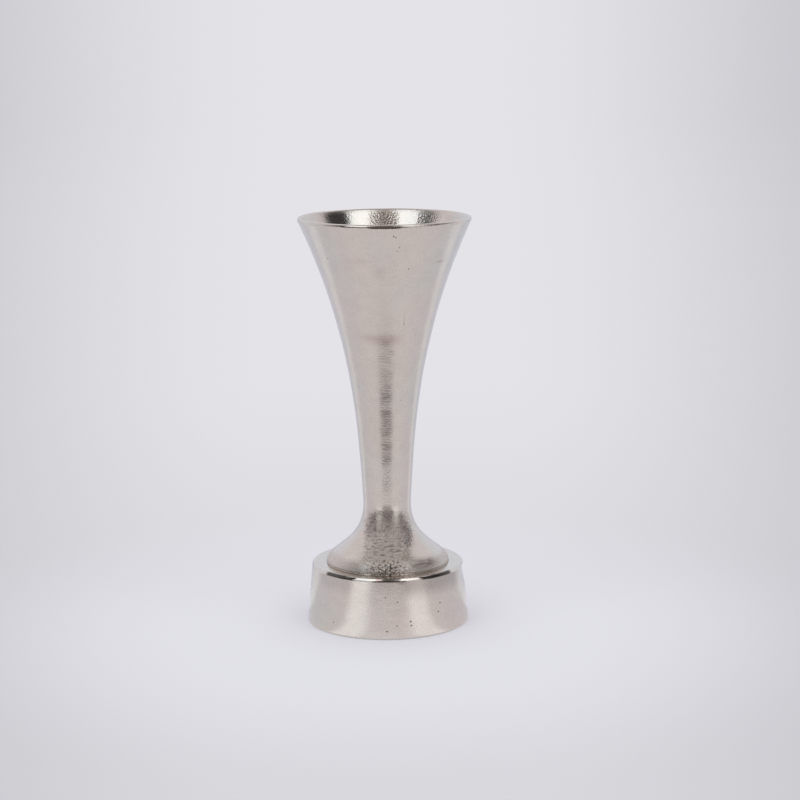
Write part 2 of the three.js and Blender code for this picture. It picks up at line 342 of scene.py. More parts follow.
def floor_material():
    """Soft light and shadow near the vase, an even tone further out, and clear from below."""
    material = bpy.data.materials.new("pale_sheet")
    material.use_nodes = True
    tree = material.node_tree
    tree.nodes.clear()
    geometry = add_node(tree, "ShaderNodeNewGeometry")
    position = geometry.outputs["Position"]
    place = add_node(tree, "ShaderNodeSeparateXYZ", {0: position})
    span = vector_maths(tree, "LENGTH", {0: position}, "Value")
    tone = floor_tone(tree, place)
    path = add_node(tree, "ShaderNodeLightPath")
    glossy = path.outputs["Is Glossy Ray"]
    shown = blend_colours(tree, glossy, tone, floor_in_metal(tree, place, span))
    glow = add_node(tree, "ShaderNodeEmission", {"Color": shown, "Strength": 1.0})
    lit = add_node(tree, "ShaderNodeBsdfDiffuse", {"Color": FLOOR_ALBEDO})
    glow_share = maths(tree, "MAXIMUM", ease(tree, span, NEAR_STARTS, NEAR_ENDS, NEAR_GLOW, 1.0), glossy)
    top = add_node(tree, "ShaderNodeMixShader", {0: glow_share, 1: lit.outputs[0], 2: glow.outputs[0]})
    clear = add_node(tree, "ShaderNodeBsdfTransparent")
    through = maths(tree, "MAXIMUM", geometry.outputs["Backfacing"], path.outputs["Is Diffuse Ray"])
    whole = add_node(tree, "ShaderNodeMixShader", {0: through, 1: top.outputs[0], 2: clear.outputs[0]})
    add_node(tree, "ShaderNodeOutputMaterial", {"Surface": whole.outputs[0]})
    return material


def lay_floor():
    """A sheet that runs level, sweeps up behind and ends as a wall."""
    line = [(-FLOOR_HALF, 0.0), (SWEEP_STARTS, 0.0)]
    for step in range(1, SWEEP_STEPS + 1):
        angle = math.pi / 2 * step / SWEEP_STEPS
        line.append((SWEEP_STARTS + SWEEP_RADIUS * math.sin(angle), SWEEP_RADIUS * (1 - math.cos(angle))))
    line.append((SWEEP_STARTS + SWEEP_RADIUS, WALL_TOP))
    verts = [(x, y, z - FLOOR_DROP) for y, z in line for x in (-FLOOR_HALF, FLOOR_HALF)]
    faces = [(2 * i, 2 * i + 1, 2 * i + 3, 2 * i + 2) for i in range(len(line) - 1)]
    mesh = bpy.data.meshes.new("studio_floor")
    mesh.from_pydata(verts, [], faces)
    mesh.materials.append(floor_material())
    floor = bpy.data.objects.new("studio_floor", mesh)
    scene.collection.objects.link(floor)


lay_floor()
print("floor laid,", FLOOR_HALF * 2, "m across")

# %% [markdown]
# ### The softboxes
# Glowing panels would show in the metal, and so do area lamps, which also light the felt and the floor with
# less noise. So lamps draw the highlights on the lip, the shoulder and the foot. They hang close and high, so
# that the flare doesn't show them. The camera can't see them.

# %% Stand the softboxes
SOFTBOX_DISTANCE = 1.25
SOFTBOX_TURN = math.radians(43)
SOFTBOX_ROLL = math.radians(-6)
SOFTBOX_RISE = math.radians(51)
SOFTBOX_WIDTH = 0.62
SOFTBOX_HEIGHT = 0.72
SOFTBOX_GLOW = 1.37
SOFTBOX_COLOUR = (0.865, 0.935, 1.0)
AIM_HEIGHT = 0.15


def stand_softbox(name, turn):
    """A tall lamp that faces the vase from a turn round it."""
    lamp = bpy.data.lights.new(name, "AREA")
    lamp.shape = "RECTANGLE"
    lamp.size = SOFTBOX_WIDTH
    lamp.size_y = SOFTBOX_HEIGHT
    lamp.energy = SOFTBOX_GLOW * math.pi * SOFTBOX_WIDTH * SOFTBOX_HEIGHT
    lamp.color = SOFTBOX_COLOUR
    softbox = bpy.data.objects.new(name, lamp)
    level = math.cos(SOFTBOX_RISE)
    outward = Vector((math.sin(turn) * level, -math.cos(turn) * level, math.sin(SOFTBOX_RISE)))
    softbox.location = Vector((0, 0, AIM_HEIGHT)) + outward * SOFTBOX_DISTANCE
    lean_in = Quaternion((0, 0, 1), math.copysign(SOFTBOX_ROLL, turn))
    softbox.rotation_euler = (outward.to_track_quat("Z", "Y") @ lean_in).to_euler()
    softbox.visible_camera = False
    scene.collection.objects.link(softbox)
    return softbox


for name, turn in (("softbox_left", -SOFTBOX_TURN), ("softbox_right", SOFTBOX_TURN)):
    print(name, [round(c, 2) for c in stand_softbox(name, turn).location])

# %% [markdown]
# ## Turned shapes
# The castings are bodies of revolution, so each starts as an outline: points of radius and height that run
# down one side. A Screw modifier could spin it, but hand work has to show too, so the skin is built as a
# grid of points that can each be pushed in or out. The same grid builder then makes threads and nuts.
# All outlines are in millimetres, as on a workshop drawing.

# %% Outline helpers


def corner(start, turn, end, steps=6):
    """A rounded corner from start to end, drawn towards the point turn. A square one becomes a true arc."""
    points = []
    for step in range(steps + 1):
        t = step / steps
        weights = ((1 - t) ** 2, math.sqrt(2) * t * (1 - t), t ** 2)
        shares = [weight / sum(weights) for weight in weights]
        points.append(tuple(sum(s * p[axis] for s, p in zip(shares, (start, turn, end))) for axis in (0, 1)))
    return points


def leaning_curve(low, low_lean, low_share, high, high_lean, high_share, steps):
    """A curve between two points whose ends lean from the upright by angles in degrees."""
    rise = high[1] - low[1]
    low_reach, high_reach = rise * low_share, rise * high_share
    first = (low[0] + math.tan(math.radians(low_lean)) * low_reach, low[1] + low_reach)
    second = (high[0] - math.tan(math.radians(high_lean)) * high_reach, high[1] - high_reach)
    points = []
    for step in range(steps + 1):
        t = step / steps
        weights = ((1 - t) ** 3, 3 * t * (1 - t) ** 2, 3 * t ** 2 * (1 - t), t ** 3)
        ends = (low, first, second, high)
        points.append(tuple(sum(w * p[axis] for w, p in zip(weights, ends)) for axis in (0, 1)))
    return points


def inside_of(points, wall):
    """The points moved sideways towards the axis, by a wall's thickness."""
    moved = []
    for index, (radius, height) in enumerate(points):
        before = points[max(index - 1, 0)]
        after = points[min(index + 1, len(points) - 1)]
        along = Vector((after[0] - before[0], after[1] - before[1])).normalized()
        moved.append((radius - along.y * wall, height + along.x * wall))
    return moved


def straight(start, end, spacing):
    """Points along a straight stretch, without its last one."""
    reach = Vector((end[0] - start[0], end[1] - start[1])).length
    count = max(1, round(reach / spacing))
    return [tuple(a + (b - a) * step / count for a, b in zip(start, end)) for step in range(count)]


print("outline helpers ready")

# %% Grid skin builder


def band_faces(low, high):
    """The faces between two rows, which are ranges of point numbers. A row of one point is a pole."""
    faces = []
    count = max(len(low), len(high))
    for i in range(count):
        j = (i + 1) % count
        if len(low) == 1:
            faces.append((low[0], high[j], high[i]))
        elif len(high) == 1:
            faces.append((low[i], low[j], high[0]))
        else:
            faces.append((low[i], low[j], high[j], high[i]))
    return faces


def skin(name, *grids, loop_rows=False):
    """A mesh over one or more grids of points in mm. Each row of a grid runs once round."""
    verts, faces = [], []
    for grid in grids:
        rows = []
        for row in grid:
            rows.append(range(len(verts), len(verts) + len(row)))
            verts.extend(row)
        for low, high in zip(rows, rows[1:] + rows[:1] if loop_rows else rows[1:]):
            faces += band_faces(low, high)
    mesh = bpy.data.meshes.new(name)
    mesh.from_pydata([tuple(c * MM for c in point) for point in verts], [], faces)
    piece = bpy.data.objects.new(name, mesh)
    scene.collection.objects.link(piece)
    work = bmesh.new()
    work.from_mesh(mesh)
    bmesh.ops.recalc_face_normals(work, faces=work.faces)
    work.to_mesh(mesh)
    work.free()
    mesh.shade_smooth()
    return piece


def ring(radius, height, around):
    """One row of a grid: a level circle, or a pole where the radius is nothing."""
    if radius < 1e-6:
        return [Vector((0, 0, height))]
    turns = (2 * math.pi * i / around for i in range(around))
    return [Vector((radius * math.sin(turn), -radius * math.cos(turn), height)) for turn in turns]


def turned(name, stretches, around, push=None, loop_rows=False):
    """A body of revolution from named stretches of outline, each point moved by push.

    Gives the piece and, for each of its points, the stretch that it belongs to and the point itself.
    """
    grid, places = [], []
    for zone, outline in stretches:
        for radius, height in outline:
            row = ring(radius, height, around)
            if push and len(row) > 1:
                row = [push(zone, point) for point in row]
            grid.append(row)
            places.extend((zone, point) for point in row)
    return skin(name, grid, loop_rows=loop_rows), places


print("grid skin builder ready")

# %% [markdown]
# ## The hand in the metal
# These castings were filed and buffed by hand, so no part of them is a true surface of revolution. Long
# shallow swells come from the buffing wheel, short ripples from the file, and a few soft dents from use.
# Most are only some hundredths of a millimetre deep, but in polished metal they bend every reflection.
# A bump map could fake them, but outlines and exported shapes would stay smooth. So they move the points of
# the grid, and are real shape.

# %% Swells, ripples and dents
SWELL_SPACING = 26.0
RIPPLE_AROUND = 6.5
RIPPLE_ALONG = 5.5
WAVE_AROUND = 16.0
WAVE_ALONG = 7.5
CRUMB_SPACING = 1.5
STROKE_REACH = 4.0
STROKE_RISE = 1.1


def smooth_step(value, start, end):
    """From 0 to 1, softly, while the value goes from start to end."""
    t = min(max((value - start) / (end - start), 0), 1)
    return t * t * (3 - 2 * t)


def fade(value, start, end):
    """From 1 to 0, softly, while the value goes from start to end."""
    return 1 - smooth_step(value, start, end)


def between(value, start, full, fades, ends):
    """From 0 to 1 and back, softly, while the value passes four limits."""
    return smooth_step(value, start, full) * fade(value, fades, ends)


def turn_of(point):
    """How far round from the front a point is, in degrees, positive to the right."""
    return math.degrees(math.atan2(point.x, -point.y))


def turn_from_back(point):
    """How far round from the back a point is, in degrees, positive to the right."""
    return math.degrees(math.atan2(point.x, point.y))


def squeezed(point, around, along):
    """The point in units of a reach round the axis and a reach along it."""
    return Vector((point.x / around, point.y / around, point.z / along))


def swell(point):
    """A slow rise and fall over the surface, about from -1 to 1."""
    return noise.noise(point / SWELL_SPACING) + 0.5 * noise.noise(point * 2.3 / SWELL_SPACING)


def ripple(point):
    """Short uneven waves that lie round the axis, about from -1 to 1."""
    place = squeezed(point, RIPPLE_AROUND, RIPPLE_ALONG)
    return noise.noise(place) + 0.25 * noise.noise(place * 2.1)


def wave(point):
    """Longer waves along the axis, about from -1 to 1."""
    return noise.noise(squeezed(point, WAVE_AROUND, WAVE_ALONG))


def file_strokes(point):
    """Short level strokes of a file, about from -1 to 1."""
    return noise.noise(squeezed(point, STROKE_REACH, STROKE_RISE))


def crumbs(point):
    """Coarse sand grain, about from -1 to 1."""
    return noise.noise(point / CRUMB_SPACING)


def soft_dents(point, dents):
    """The push of all soft dents at a point. A dent has a turn, height, half width, half height and push."""
    turn = turn_of(point)
    radius = math.hypot(point.x, point.y)
    total = 0
    for dent_turn, height, half_width, half_height, push in dents:
        across = math.radians(turn - dent_turn) * radius / half_width
        along = (point.z - height) / half_height
        total += push * math.exp(-across ** 2 - along ** 2)
    return total


print("hand work ready: swells", SWELL_SPACING, "mm and ripples", RIPPLE_ALONG, "mm apart")

# %% [markdown]
# ### Finish values on the points
# One finish covers a casting, but not evenly: sand grain is left where the buff couldn't reach, edges are
# brighter, creases hold tarnish, corners stayed matt, rough spots browned, and the file left its strokes on
# the neck. Each point gets six numbers for that, and the material reads them. The darkening number holds
# real tarnish, and also painted shade and painted dark reflections on the bevel, the wall, the neck and the
# foot. Painted masks would need an unwrapped image. The deepest pits are real holes, so the skin is divided
# more finely round each one.

# %% Finish values and pits
# The third value is the darkening: real tarnish, and painted shade and painted dark reflections.
FINISHES = ("grain", "polish", "tarnish_and_shade", "strokes", "matt", "brown")
PIT_REACH = 2.4
PIT_CUTS = 3
PIT_TARNISH = 0.8


def values(grain=0.0, polish=0.0, tarnish_and_shade=0.0, strokes=0.0, matt=0.0, brown=0.0):
    """The finish values of one point, in the order of FINISHES."""
    return grain, polish, min(max(tarnish_and_shade, 0), 1), strokes, matt, min(max(brown, 0), 1)


def set_finish(piece, places, finish):
    """Stores the finish values on the points. finish(zone, point) gives those of one."""
    columns = zip(*(finish(zone, point) for zone, point in places))
    for name, column in zip(FINISHES, columns):
        layer = piece.data.attributes.new(name, "FLOAT", "POINT")
        layer.data.foreach_set("value", list(column))


def outside_point(surface, turn, height):
    """The point of the outer skin at a turn in degrees and a height in mm, and the way in from there."""
    inward = Vector((-math.sin(math.radians(turn)), math.cos(math.radians(turn)), 0))
    start = Vector((0, 0, height * MM)) - inward
    return surface.ray_cast(start, inward)[0], inward


def strike_pits(piece, pits):
    """Sinks small pits into a piece. A pit has a turn, a height, a half size and a depth."""
    work = bmesh.new()
    work.from_mesh(piece.data)
    surface = BVHTree.FromBMesh(work)
    spots = []
    for turn, height, size, depth in pits:
        spots.append((*outside_point(surface, turn, height), size * MM, depth * MM))

    def spots_near(vert, sizes):
        """The pits that are nearer than so many of their own sizes."""
        near = [spot for spot in spots if abs(vert.co.z - spot[0].z) < spot[2] * sizes]
        return [spot for spot in near if (vert.co - spot[0]).length < spot[2] * sizes]

    close = {vert for vert in work.verts if spots_near(vert, PIT_REACH + MM / spots[0][2])}
    edges = [edge for edge in work.edges if edge.verts[0] in close and edge.verts[1] in close]
    bmesh.ops.subdivide_edges(work, edges=edges, cuts=PIT_CUTS, use_grid_fill=True)
    tarnish_and_shade = work.verts.layers.float["tarnish_and_shade"]
    for vert in work.verts:
        for centre, inward, size, depth in spots_near(vert, 1.0):
            sunk = (1 - ((vert.co - centre).length / size) ** 2) ** 2
            vert.co += inward * depth * sunk
            vert[tarnish_and_shade] = max(vert[tarnish_and_shade], PIT_TARNISH * sunk)
    work.to_mesh(piece.data)
    work.free()


print("finish values and pits ready")

# %% [markdown]
# ## The vessel
# The vessel is one casting: lip, flare, neck, domed foot and flange. Its outer line is two curves that meet
# at the waist with one tangent, and the lip is a full round between the outer and the inner wall. The flange
# splays out a little towards the ledge that it stands on. Loops of a subdivision surface could give the same
# line, but curves with known leans can be checked against a drawing. The heights come from the CAD piece, and
# the other sizes are the drawing's own.

# %% Draw the vessel
vessel_low, vessel_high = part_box("trumpet_vessel")
LIP_TOP = vessel_high.z / MM
LIP_RADIUS = 68.9
LIP_LEAN = 24.7
LIP_ROUND = 3.5
LIP_TOP_INSET = 1.5
LIP_INNER_EDGE = 1.1
FLARE_WALL = 4.0
FINE_INSIDE = 290.0
FLANGE_BOTTOM = vessel_low.z / MM
FLANGE_HEIGHT = 2.3
FLANGE_ROUND = 0.5
FLANGE_LEAN = 0.2
FLANGE_SPREAD = 0.5
CREASE_HEIGHT = 0.7
CREASE_DEPTH = 0.25
FOOT_RADIUS = 49.8
FOOT_WALL = 5.0
WAIST = (19.5, 100.0)
FOOT_LEAN, WAIST_LEAN = -8.8, 3.2
FOOT_LOW_SHARE, FOOT_HIGH_SHARE = 0.241, 0.685
FLARE_LOW_SHARE, FLARE_HIGH_SHARE = 0.272, 0.404
FOOT_ROWS, FLARE_ROWS = 96, 300
LIP_STEPS, LIP_INNER_STEPS = 14, 8
VESSEL_FLOOR = 94.0
FLOOR_ROUND = 7.5
CORE_CEILING = 82.0
CORE_RADIUS = 17.0
BOSS_RADIUS = 9.0
TAPPED_RADIUS = 4.1
TAPPED_TOP = 70.3
BOSS_END = 46.5
BOSS_EDGE = 0.6
BOSS_FILLET = 1.0
CREASE_SLACK = 0.1


def vessel_stretches():
    """The vessel's outline from the tapped hole, round the outside, to the middle of its floor."""
    flange_top = FLANGE_BOTTOM + FLANGE_HEIGHT
    flange_foot = FOOT_RADIUS + FLANGE_SPREAD
    flange_edge = FOOT_RADIUS - FLANGE_LEAN
    crease_top = flange_top + CREASE_HEIGHT
    lip_bottom = LIP_TOP - LIP_ROUND
    lip_reach = LIP_ROUND * math.tan(math.radians(LIP_LEAN))
    core_wall = FOOT_RADIUS - FOOT_WALL
    foot = leaning_curve(
        (FOOT_RADIUS, crease_top), FOOT_LEAN, FOOT_LOW_SHARE, WAIST, WAIST_LEAN, FOOT_HIGH_SHARE, FOOT_ROWS)
    flare = leaning_curve(
        WAIST, WAIST_LEAN, FLARE_LOW_SHARE, (LIP_RADIUS, lip_bottom), LIP_LEAN, FLARE_HIGH_SHARE, FLARE_ROWS)
    foot_inside = [p for p in inside_of(foot[::4], FOOT_WALL) if p[1] < CORE_CEILING and p[0] < core_wall]
    wall_foot = VESSEL_FLOOR + FLOOR_ROUND
    rows = enumerate(inside_of(flare, FLARE_WALL))
    kept_rows = [p for i, p in rows if i % 2 == 0 or p[1] > FINE_INSIDE]
    flare_inside = [p for p in kept_rows if wall_foot < p[1] < lip_bottom]
    floor_radius = flare_inside[0][0]
    lip_inner = flare_inside[-1][0] + (lip_bottom - flare_inside[-1][1]) * math.tan(math.radians(LIP_LEAN))
    lip_top = (LIP_RADIUS - LIP_TOP_INSET, LIP_TOP)
    edge_in = lip_inner + lip_reach
    edge_foot = (lip_inner + lip_reach * (1 - LIP_INNER_EDGE / LIP_ROUND), LIP_TOP - LIP_INNER_EDGE)
    core = [
        (0, TAPPED_TOP), (TAPPED_RADIUS, TAPPED_TOP), (TAPPED_RADIUS, BOSS_END),
        (BOSS_RADIUS - BOSS_EDGE, BOSS_END), (BOSS_RADIUS, BOSS_END + BOSS_EDGE),
        (BOSS_RADIUS, CORE_CEILING - BOSS_FILLET), (BOSS_RADIUS + BOSS_FILLET, CORE_CEILING),
        (CORE_RADIUS, CORE_CEILING), *reversed(foot_inside),
        (core_wall, FLANGE_BOTTOM)]
    flange = [
        *corner((flange_foot - FLANGE_ROUND, FLANGE_BOTTOM), (flange_foot, FLANGE_BOTTOM),
                (flange_foot - FLANGE_ROUND / 3, FLANGE_BOTTOM + FLANGE_ROUND)),
        *corner((flange_edge + FLANGE_ROUND / 2, flange_top - FLANGE_ROUND), (flange_edge, flange_top),
                (flange_edge - FLANGE_ROUND / 2, flange_top))]
    crease_radius = flange_edge - CREASE_DEPTH
    crease = corner(
        (crease_radius, flange_top + CREASE_SLACK), (crease_radius, crease_top),
        (FOOT_RADIUS - CREASE_SLACK, crease_top))
    lip = [
        *corner((LIP_RADIUS, lip_bottom), (LIP_RADIUS + lip_reach, LIP_TOP), lip_top, LIP_STEPS)[1:],
        *corner((edge_in + LIP_INNER_EDGE, LIP_TOP), (edge_in, LIP_TOP), edge_foot, LIP_INNER_STEPS)]
    floor = [
        *corner((floor_radius, wall_foot), (floor_radius, VESSEL_FLOOR),
                (floor_radius - FLOOR_ROUND, VESSEL_FLOOR)),
        (0, VESSEL_FLOOR)]
    return [("core", core), ("flange", flange), ("crease", crease), ("foot", foot[1:]), ("flare", flare[1:]),
            ("lip", lip), ("inside", list(reversed(flare_inside))), ("inside", floor)]


print("vessel drawn:", round(LIP_TOP - FLANGE_BOTTOM, 2), "mm tall,", round(2 * LIP_RADIUS, 1), "mm across")

# %% [markdown]
# ### Where the hand worked
# The neck kept the most ripples, because a wheel hardly reaches it. The domed foot and the inside kept
# their sand grain, most of all in a strip down the foot's front. Beside that strip a wheel could reach the
# foot's low edge. Painted masks would be one way to mark such places. Here each is a function that gives 1
# there and 0 elsewhere, with soft edges, so that shape and finish can use the same place.

# %% Rough and buffed places
CRUMB_TURN, CRUMB_HALF = -1.5, 16.0
CRUMB_FADES, CRUMB_ENDS = 54.0, 63.0
STRIP_TOP, STRIP_FADE = 86.0, 7.0
STRIP_TEETH, STRIP_TOOTH, STRIP_RAGS = 2.5, 15.0, 2.0
STRIP_HALF, STRIP_SOFT, STRIP_FRAY = 17.0, 6.0, 4.0
STRIP_TOE, STRIP_KNEE = 56.0, 76.0
STRIP_NARROWS, STRIP_SHIFTS = 6.0, 3.0
STRIP_BACK = 4.0
BUFFED_TURNS = (9.0, 15.0, 25.0, 34.0)
ROUGH_BACK_TURNS = (-13.0, -6.0, 5.0, 12.0)
ROUGH_RIGHT_TURNS = (24.0, 30.0, 42.0, 52.0)


def crumb_patch(point):
    """1 low on the front of the foot, where the coarsest sand was left, and 0 away from it."""
    across = (turn_of(point) - CRUMB_TURN) / CRUMB_HALF
    return math.exp(-across ** 2) * fade(point.z, CRUMB_FADES, CRUMB_ENDS)


def rough_front(point):
    """1 on the front of the foot, in a strip as wide as the neck that was never buffed, and 0 beside it."""
    strokes = file_strokes(point)
    teeth = STRIP_TEETH * math.cos(2 * math.pi * point.x / STRIP_TOOTH)
    top = STRIP_TOP + teeth + STRIP_RAGS * strokes
    below = fade(point.z, top - STRIP_FADE, top + STRIP_FADE)
    lower = fade(point.z, STRIP_TOE, STRIP_KNEE)
    edge = STRIP_HALF - STRIP_NARROWS * lower + STRIP_FRAY * strokes
    within = fade(abs(point.x + STRIP_SHIFTS * lower), edge - STRIP_SOFT, edge + STRIP_SOFT)
    return below * within * fade(point.y, -STRIP_BACK, STRIP_BACK)


def buffed_sides(point):
    """1 to the left and right of the foot's front, where a wheel reached its low edge, and 0 elsewhere."""
    return between(abs(turn_of(point)), *BUFFED_TURNS)


def rough_inside(point):
    """1 inside the mouth, at the back and to its right, where the most sand grain shows, and 0 elsewhere."""
    turn = turn_from_back(point)
    return between(turn, *ROUGH_BACK_TURNS) + between(turn, *ROUGH_RIGHT_TURNS)


print("rough strip", 2 * STRIP_HALF, "mm wide on the foot's front")

# %% [markdown]
# ### The vessel's unevenness
# Every stretch of the outline has its own depth of swell. The neck adds ripples and waves, the foot and the
# inside add sand crumbs, and a few soft dents sit on the flare. A Displace modifier could push the points
# too, but it can't tell one stretch from the next.

# %% Push the vessel's points
VESSEL_SWELL = {
    "core": 0.0, "flange": 0.04, "crease": 0.05, "foot": 0.10, "flare": 0.10, "lip": 0.12, "inside": 0.14}
NECK_RIPPLE = 0.024
NECK_WAVE = 0.075
NECK_STARTS, NECK_FULL, LOW_NECK_SHARE = 112.0, 142.0, 0.3
NECK_FADES, NECK_ENDS, NECK_LOSS = 215.0, 265.0, 0.8
FOOT_CRUMBS, FOOT_CRUMBS_FADE, FOOT_CRUMBS_END = 0.02, 86.0, 96.0
CRUMB_PATCH = 0.2
FLANGE_SHARE = 0.5
INSIDE_CRUMBS = 0.03
WORN_STARTS, WORN_FULL = 280.0, 315.0
WORN_SHARE, ROUGH_SHARE = 0.75, 0.4
VESSEL_DENTS = [
    (0.0, 161.0, 5.0, 4.0, -0.05), (1.0, 133.0, 4.0, 5.0, 0.04), (1.7, 235.4, 3.0, 2.5, -0.06),
    (47.0, 297.7, 5.0, 2.0, -0.08)]


def neck_share(point):
    """1 up to the top of the neck, and less on the flare, where a wheel could reach."""
    return 1 - NECK_LOSS * smooth_step(point.z, NECK_FADES, NECK_ENDS)


def vessel_push(zone, point):
    """Moves a point of the vessel in or out as the hand work did."""
    depth = VESSEL_SWELL[zone] * swell(point)
    if zone == "flare":
        low_share = LOW_NECK_SHARE + (1 - LOW_NECK_SHARE) * smooth_step(point.z, NECK_STARTS, NECK_FULL)
        depth += neck_share(point) * low_share * (NECK_RIPPLE * ripple(point) + NECK_WAVE * wave(point))
        depth += soft_dents(point, VESSEL_DENTS)
    elif zone == "foot":
        depth += FOOT_CRUMBS * fade(point.z, FOOT_CRUMBS_FADE, FOOT_CRUMBS_END) * crumbs(point)
        depth += CRUMB_PATCH * crumb_patch(point) * crumbs(point)
    elif zone in ("flange", "crease"):
        depth += FLANGE_SHARE * CRUMB_PATCH * crumb_patch(point) * crumbs(point)
    elif zone == "inside":
        worn = smooth_step(point.z, WORN_STARTS, WORN_FULL) * (WORN_SHARE - ROUGH_SHARE * rough_inside(point))
        depth += INSIDE_CRUMBS * (1 - worn) * crumbs(point)
    outward = Vector((point.x, point.y, 0)).normalized()
    lift = Vector((0, 0, depth)) if zone == "lip" else Vector()
    return point + outward * depth + lift


print("deepest swell of the vessel:", max(VESSEL_SWELL.values()), "mm")

# %% [markdown]
# ### The vessel's finish
# Stains use the same soft spots as the dents: a turn, a height, a half width, a half height and a strength.
# So does the painted dark reflection on the neck's front, which deepens the streak that the dark gap draws
# there. File strokes break them up, so that none looks like a round blot. Each stretch has a function of
# its own.

# %% Finish the vessel's points
FOOT_STAINS = [
    (38.0, 54.6, 13.0, 2.7, 0.75), (46.0, 55.0, 6.0, 2.4, 0.25), (18.0, 53.5, 8.0, 1.2, 0.3),
    (-32.0, 54.5, 8.0, 2.4, 0.35), (-38.0, 83.0, 4.0, 8.0, 0.4), (40.0, 81.0, 4.0, 8.0, 0.3)]
# Brown stains. The first, high on the neck's front, and the last, low on it, are painted reflection: the top
# and the foot of the dark streak.
FLARE_STAINS = [
    (1.0, 236.0, 10.0, 4.5, 0.75), (-20.0, 238.0, 8.0, 3.0, 0.35), (-4.0, 291.0, 5.0, 4.0, 0.28),
    (49.0, 298.0, 5.0, 1.2, 0.6), (-22.0, 300.0, 12.0, 2.5, 0.16), (21.0, 252.0, 0.7, 5.0, 0.4),
    (0.0, 118.0, 4.0, 16.0, 0.06)]
# Painted dark reflection on the neck's front, along the streak that the dark gap draws.
NECK_PAINTED_STREAK = [(0.5, 166.0, 3.6, 8.0, 0.20), (0.0, 141.0, 2.8, 6.0, 0.12), (0.0, 196.0, 2.6, 9.0, 0.08)]
STAIN_BREAKS, STREAK_BREAKS = 0.9, 2.2
NECK_MATT, NECK_MATT_HEIGHTS = 0.13, (118.0, 142.0, 205.0, 250.0)
LIP_BRIGHT_TURN, LIP_BRIGHT_HALF, LIP_BRIGHT_SOFT = -7.5, 25.0, 4.0
LIP_MATT = 0.35
CRUMB_SHADE = 2.6
FOOT_GRAIN, STRIP_GRAIN, PATCH_GRAIN, LEAST_GRAIN = 0.18, 0.5, 0.8, 0.06
GRAIN_FADES, GRAIN_ENDS = 89.0, 98.0
EDGE_MATT, EDGE_BUFFED, STRIP_MATT = 0.8, 0.3, 0.7
EDGE_FADES, EDGE_ENDS = 55.0, 60.0
STRIP_BROWN, STRIP_DARK, STRIP_PALE, STRIP_STROKES = 0.39, 0.12, 0.06, 0.7
DARK_FADES, DARK_ENDS = 66.0, 78.0
STAIN_SHARE = 0.5
PATCH_POLISH = 0.8
SIDE_STROKES = 0.2
DEEP_DARKENING, DEEP_FADES, DEEP_ENDS = 0.35, 120.0, 290.0
INSIDE_GRAIN, GRAIN_WORN_FULL = 0.8, 318.0
WORN_GRAIN, ROUGH_GRAIN = 0.65, 0.3
INSIDE_BROWN, INSIDE_BROWN_TURNS = 0.24, (46.0, 58.0)
FLANGE_BUFFED, FLANGE_GRAIN, FLANGE_PATCH, FLANGE_MATT, CREASE_TARNISH = 0.85, 0.4, 0.9, 0.7, 0.12


def crumb_shade(point):
    """Painted shade in the hollows between the coarse crumbs, and less darkening on their tops."""
    return -CRUMB_SHADE * crumb_patch(point) * crumbs(point)


def foot_finish(point):
    """Fine grain, a rough brown strip in front with painted shade, a matt low edge and some stains."""
    patch = crumb_patch(point)
    front = rough_front(point)
    strokes = file_strokes(point)
    low_edge = fade(point.z, EDGE_FADES, EDGE_ENDS) * (1 - front)
    stain = soft_dents(point, FOOT_STAINS) * (1 + STAIN_BREAKS * strokes)
    grain = FOOT_GRAIN + STRIP_GRAIN * front + PATCH_GRAIN * patch
    grain = grain * fade(point.z, GRAIN_FADES, GRAIN_ENDS) + LEAST_GRAIN
    matt = (EDGE_MATT - EDGE_BUFFED * buffed_sides(point)) * low_edge + STRIP_MATT * front * (1 - patch)
    # Painted shade on the front strip, where it mirrors the dark gap: more towards its bottom and along the
    # file strokes.
    lower = fade(point.z, DARK_FADES, DARK_ENDS)
    dark = front * (STRIP_DARK * lower - STRIP_PALE + STRIP_STROKES * (1 - patch) * strokes)
    dark += STAIN_SHARE * stain + crumb_shade(point)
    return values(
        grain=grain, polish=PATCH_POLISH * patch, tarnish_and_shade=dark, matt=matt,
        strokes=SIDE_STROKES + (1 - SIDE_STROKES) * front, brown=STRIP_BROWN * front + STAIN_SHARE * stain)


def inside_finish(point):
    """Sand grain, worn towards the lip, darker and duller deep down, and brown to both sides."""
    dull = DEEP_DARKENING * fade(point.z, DEEP_FADES, DEEP_ENDS)
    worn = WORN_GRAIN - ROUGH_GRAIN * rough_inside(point)
    worn *= smooth_step(point.z, WORN_STARTS, GRAIN_WORN_FULL)
    beside = smooth_step(abs(turn_from_back(point)), *INSIDE_BROWN_TURNS)
    return values(grain=INSIDE_GRAIN - worn, tarnish_and_shade=dull, strokes=SIDE_STROKES, brown=INSIDE_BROWN * beside)


def flare_finish(point):
    """File strokes and a painted dark reflection on the neck, and a few brown stains, two of which paint it
    too.
    """
    painted_streak = soft_dents(point, NECK_PAINTED_STREAK) * (1 + STREAK_BREAKS * file_strokes(point))
    matt = NECK_MATT * between(point.z, *NECK_MATT_HEIGHTS)
    return values(
        grain=LEAST_GRAIN, tarnish_and_shade=painted_streak, strokes=neck_share(point), matt=matt,
        brown=soft_dents(point, FLARE_STAINS))


def lip_finish(point):
    """Bright in front, where it was buffed last, and satin elsewhere."""
    off = abs(turn_of(point) - LIP_BRIGHT_TURN)
    bright = fade(off, LIP_BRIGHT_HALF - LIP_BRIGHT_SOFT, LIP_BRIGHT_HALF + LIP_BRIGHT_SOFT)
    return values(grain=0.1, polish=bright, matt=LIP_MATT * (1 - bright))


def core_finish(_):
    """Raw sand casting."""
    return values(grain=1.0, tarnish_and_shade=0.3)


